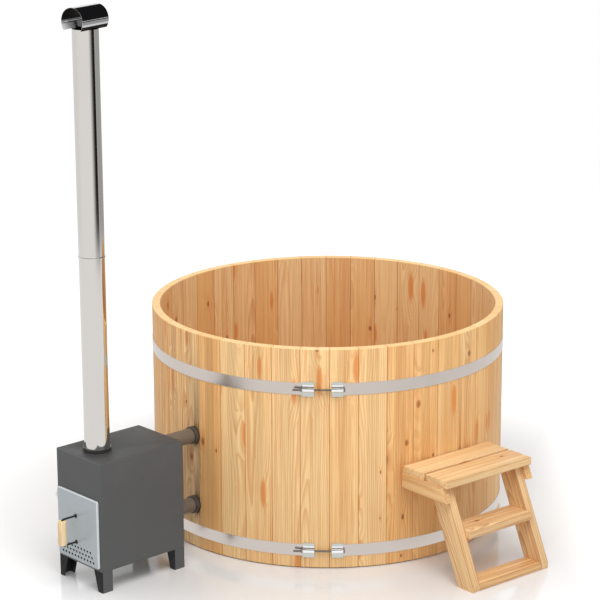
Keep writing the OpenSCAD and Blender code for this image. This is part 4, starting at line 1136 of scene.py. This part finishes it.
def bench_screws():
    """Two screw heads in each slat on both sides of a mitre, found by looking down on the arms."""
    beside_mitre, stride, shortest_run, sunk = 0.013, 0.002, 16, Vector((0, 0, 0.0006))
    up = Vector((0, 0, 1))
    slats = joined_copy("bench_slats")
    slats.faces.index_update()
    tree = BVHTree.FromBMesh(slats)
    owner = {}
    for index, group in enumerate(solids(slats)):
        for v in group:
            for face in v.link_faces:
                owner[face.index] = index
    arms = joined_copy("bench_arms")
    core = sum((v.co for v in arms.verts), Vector()) / len(arms.verts)
    found = []
    for group in solids(arms):
        middle = sum((v.co for v in group), Vector()) / len(group)
        along, _ = board_axes(group, core)
        reach = max((v.co - middle).dot(along) for v in group)
        beside = Vector((-along.y, along.x, 0.0)).normalized()
        runs = {}
        for offset in (-beside_mitre, beside_mitre):
            for step in range(int(reach / stride)):
                for way in (-1, 1):
                    at = middle + along * (way * step * stride) + beside * offset
                    spot, normal, face, _ = tree.ray_cast(Vector((at.x, at.y, 0.8)), -up)
                    if spot is not None and normal.z > 0.9:
                        runs.setdefault((owner[face], offset), []).append((way * step, spot))
        for run in runs.values():
            run = [spot for _, spot in sorted(run, key=lambda r: r[0])]
            if len(run) >= shortest_run:
                found += [(run[int(s * (len(run) - 1))] - sunk, up) for s in (0.24, 0.76)]
    slats.free()
    arms.free()
    return found


heads = STUDS.made(spots(bench_screws()), STRAP_STEEL, radius=0.0042, height=0.0016)
piece("bench_screws", outward(heads), STRAP_STEEL, body="tub_and_stove")


# CAD nodes that keep their own shape

LEG_SIDES = [v.co.y for v in NODES["stove_legs"].data.vertices]
LEG_HALF, LEG_MIDDLE = (max(LEG_SIDES) - min(LEG_SIDES)) / 2, (max(LEG_SIDES) + min(LEG_SIDES)) / 2

for material, nodes in (
    (HOOP_STEEL, "upper_hoop_band lower_hoop_band"),
    (STRAP_STEEL, "drain_body drain_back_nut drain_pull_ring inner_collars door_catch"),
    (STRAP_STEEL, "cap_straps cap_rivets step_screws"),
    (RUBBER, "drain_gasket drain_plug outer_gaskets inner_gaskets"),
    (PIPE_PAINT, "water_pipes"),
    (COLLAR_PAINT, "outer_collars stove_collars"),
    (IRON, "stove_firebox firebox_baffle grate_ledges stove_grate ash_pan door_liner"),
    (leg_paint(LEG_HALF, LEG_MIDDLE), "stove_legs"),
    (SOCKET_PAINT, "flue_socket"),
    (DOOR_ENAMEL, "stove_door handle_nuts"),
    (HINGE_STEEL, "door_knuckles casing_knuckles hinge_pins"),
    (FLUE_STEEL, "chimney_lower chimney_upper"),
    (CAP_STEEL, "chimney_cap"),
):
    for node in nodes.split():
        painted(NODES[node].data, material)


# The studio


def stage_piece(name, points, faces):
    mesh = bpy.data.meshes.new(name)
    mesh.from_pydata(points, [], faces)
    obj = placed(name, mesh)
    return obj


def white_floor():
    """A floor that shows white to the camera and keeps the object's soft shadow. Polished metal
    sees a pale floor with one dark and one grey part far off to the right, as in a studio."""
    edge = 80.0
    corners = [(-edge, -edge, 0), (edge, -edge, 0), (edge, edge, 0), (-edge, edge, 0)]
    floor = stage_piece("floor", corners, [(0, 1, 2, 3)])
    f = Finish("floor")
    rays = f.raw("LightPath", {}).outputs
    seen = Val(f, rays["Is Camera Ray"]).most(Val(f, rays["Is Transmission Ray"]))
    x, y, _ = f.place().parts()

    # The camera sees the lit floor near the object, a lift where no shadow falls, and white beyond
    across = x * math.cos(PHOTO_AZIMUTH) + y * math.sin(PHOTO_AZIMUTH)
    from_tub = (x * x + y * y).sqrt()
    clear = from_tub.step(1.15, 2.5).most(across.step(1.05, 1.5))
    f.surface(Base_Color=(0.78, 0.78, 0.78), Roughness=0.13, Specular_IOR_Level=0.85)
    lit = f.node("AddShader", {}, Val(f, f.shader.outputs[0]), f.glow(seen * (clear * 0.33)))
    shown = f.node("MixShader", {}, seen * from_tub.step(4.0, 9.0), lit, f.glow(1.0))

    # Metal sees these sectors round the flue, in degrees
    out = x - FLUE_X
    turn = y.math("ARCTAN2", out) * (180.0 / math.pi)
    from_flue = (out * out + y * y).sqrt()
    dusk = turn.step(-108.0, -66.0) * turn.step(-44.0, -50.0)
    grey = turn.step(-50.0, -42.0) * turn.step(95.0, 50.0)
    side = turn.step(50.0, 110.0) * turn.step(170.0, 120.0)
    shade = (dusk * 0.985).most(grey * 0.54).most(side * 0.08) * from_flue.step(5.6, 7.4)
    shade = shade.most(from_flue.step(20.0, 25.0) * turn.step(-60.0, -50.0) * 0.97)
    mirrored = f.glow((1.0 - shade) * 0.9)
    both = f.node("MixShader", {}, Val(f, rays["Is Glossy Ray"]), shown, mirrored)
    floor.data.materials.append(f.ends_in(both))


def pale_world():
    """White to the camera and to metal, and a little dimmer as light."""
    world = bpy.data.worlds.new("studio")
    bpy.context.scene.world = world
    world.use_nodes = True
    nodes, links = world.node_tree.nodes, world.node_tree.links
    rays = nodes.new("ShaderNodeLightPath")
    seen = nodes.new("ShaderNodeMath")
    seen.operation = "MAXIMUM"
    links.new(rays.outputs["Is Camera Ray"], seen.inputs[0])
    links.new(rays.outputs["Is Glossy Ray"], seen.inputs[1])
    strength = nodes.new("ShaderNodeMapRange")
    strength.inputs["To Min"].default_value = 0.80
    strength.inputs["To Max"].default_value = 1.0
    links.new(seen.outputs[0], strength.inputs["Value"])
    links.new(strength.outputs[0], nodes["Background"].inputs["Strength"])
    nodes["Background"].inputs["Color"].default_value = (1.0, 1.0, 1.0, 1.0)


def dark_fan(name, start, stop, near, far, height, steps):
    """A level panel, a part of a ring round the flue, that only polished metal sees."""
    points, faces = [], []
    for i in range(steps + 1):
        turn = math.radians(start + (stop - start) * i / steps) + PHOTO_AZIMUTH
        for r in (near, far):
            points.append((FLUE_X + r * math.cos(turn), r * math.sin(turn), height))
    for i in range(steps):
        faces.append((2 * i, 2 * i + 1, 2 * i + 3, 2 * i + 2))
    panel = stage_piece(name, points, faces)
    f = Finish(name)
    panel.data.materials.append(f.ends_in(f.glow(1.0, (0.012, 0.012, 0.013))))
    panel.visible_camera = False
    panel.visible_diffuse = False
    panel.visible_shadow = False
    panel.visible_transmission = False


def soft_lamp(name, place, aim, size, watts):
    light = bpy.data.lights.new(name, "AREA")
    light.shape = "SQUARE"
    light.size = size
    light.energy = watts
    lamp = placed(name, light)
    lamp.location = place
    lamp.rotation_euler = (Vector(aim) - Vector(place)).to_track_quat("-Z", "Y").to_euler()


def photo_camera(photo_axes):
    """The photograph's own camera: 12 m off, 4.3 m up, with a long lens."""
    yaw, pitch, roll = -0.0123, 0.2705, -0.0040
    place = Vector((0.0, -11.498, 4.302))
    sensor_mm, focal_px, frame_px = 36.0, 2323.0, 600.0
    forward = Vector((math.sin(yaw), math.cos(yaw), 0)) * math.cos(pitch)
    forward.z = -math.sin(pitch)
    level = Vector((math.cos(yaw), -math.sin(yaw), 0))
    upright = level.cross(forward)
    right = level * math.cos(roll) + upright * math.sin(roll)
    up = upright * math.cos(roll) - level * math.sin(roll)
    camera = bpy.data.cameras.new("photo_camera")
    camera.sensor_width = sensor_mm
    camera.lens = focal_px / frame_px * sensor_mm
    camera.clip_end = 400.0
    obj = placed("photo_camera", camera)
    basis = Matrix((right, up, -forward)).transposed().to_4x4()
    basis.translation = place
    obj.matrix_world = photo_axes @ basis
    bpy.context.scene.camera = obj


photo_axes = Matrix.Rotation(PHOTO_AZIMUTH, 4, "Z")
photo_camera(photo_axes)
white_floor()
pale_world()
dark_fan("dark_ceiling", start=0, stop=360, near=0.0, far=4.0, height=4.55, steps=32)
dark_fan("dark_canopy", start=-14, stop=58, near=0.2, far=40.0, height=2.86, steps=24)
soft_lamp("key", photo_axes @ Vector((0.4, -4.4, 8.0)), aim=(0, 0, 0.5), size=4.5, watts=370.0)

bpy.context.scene.view_settings.view_transform = "Standard"
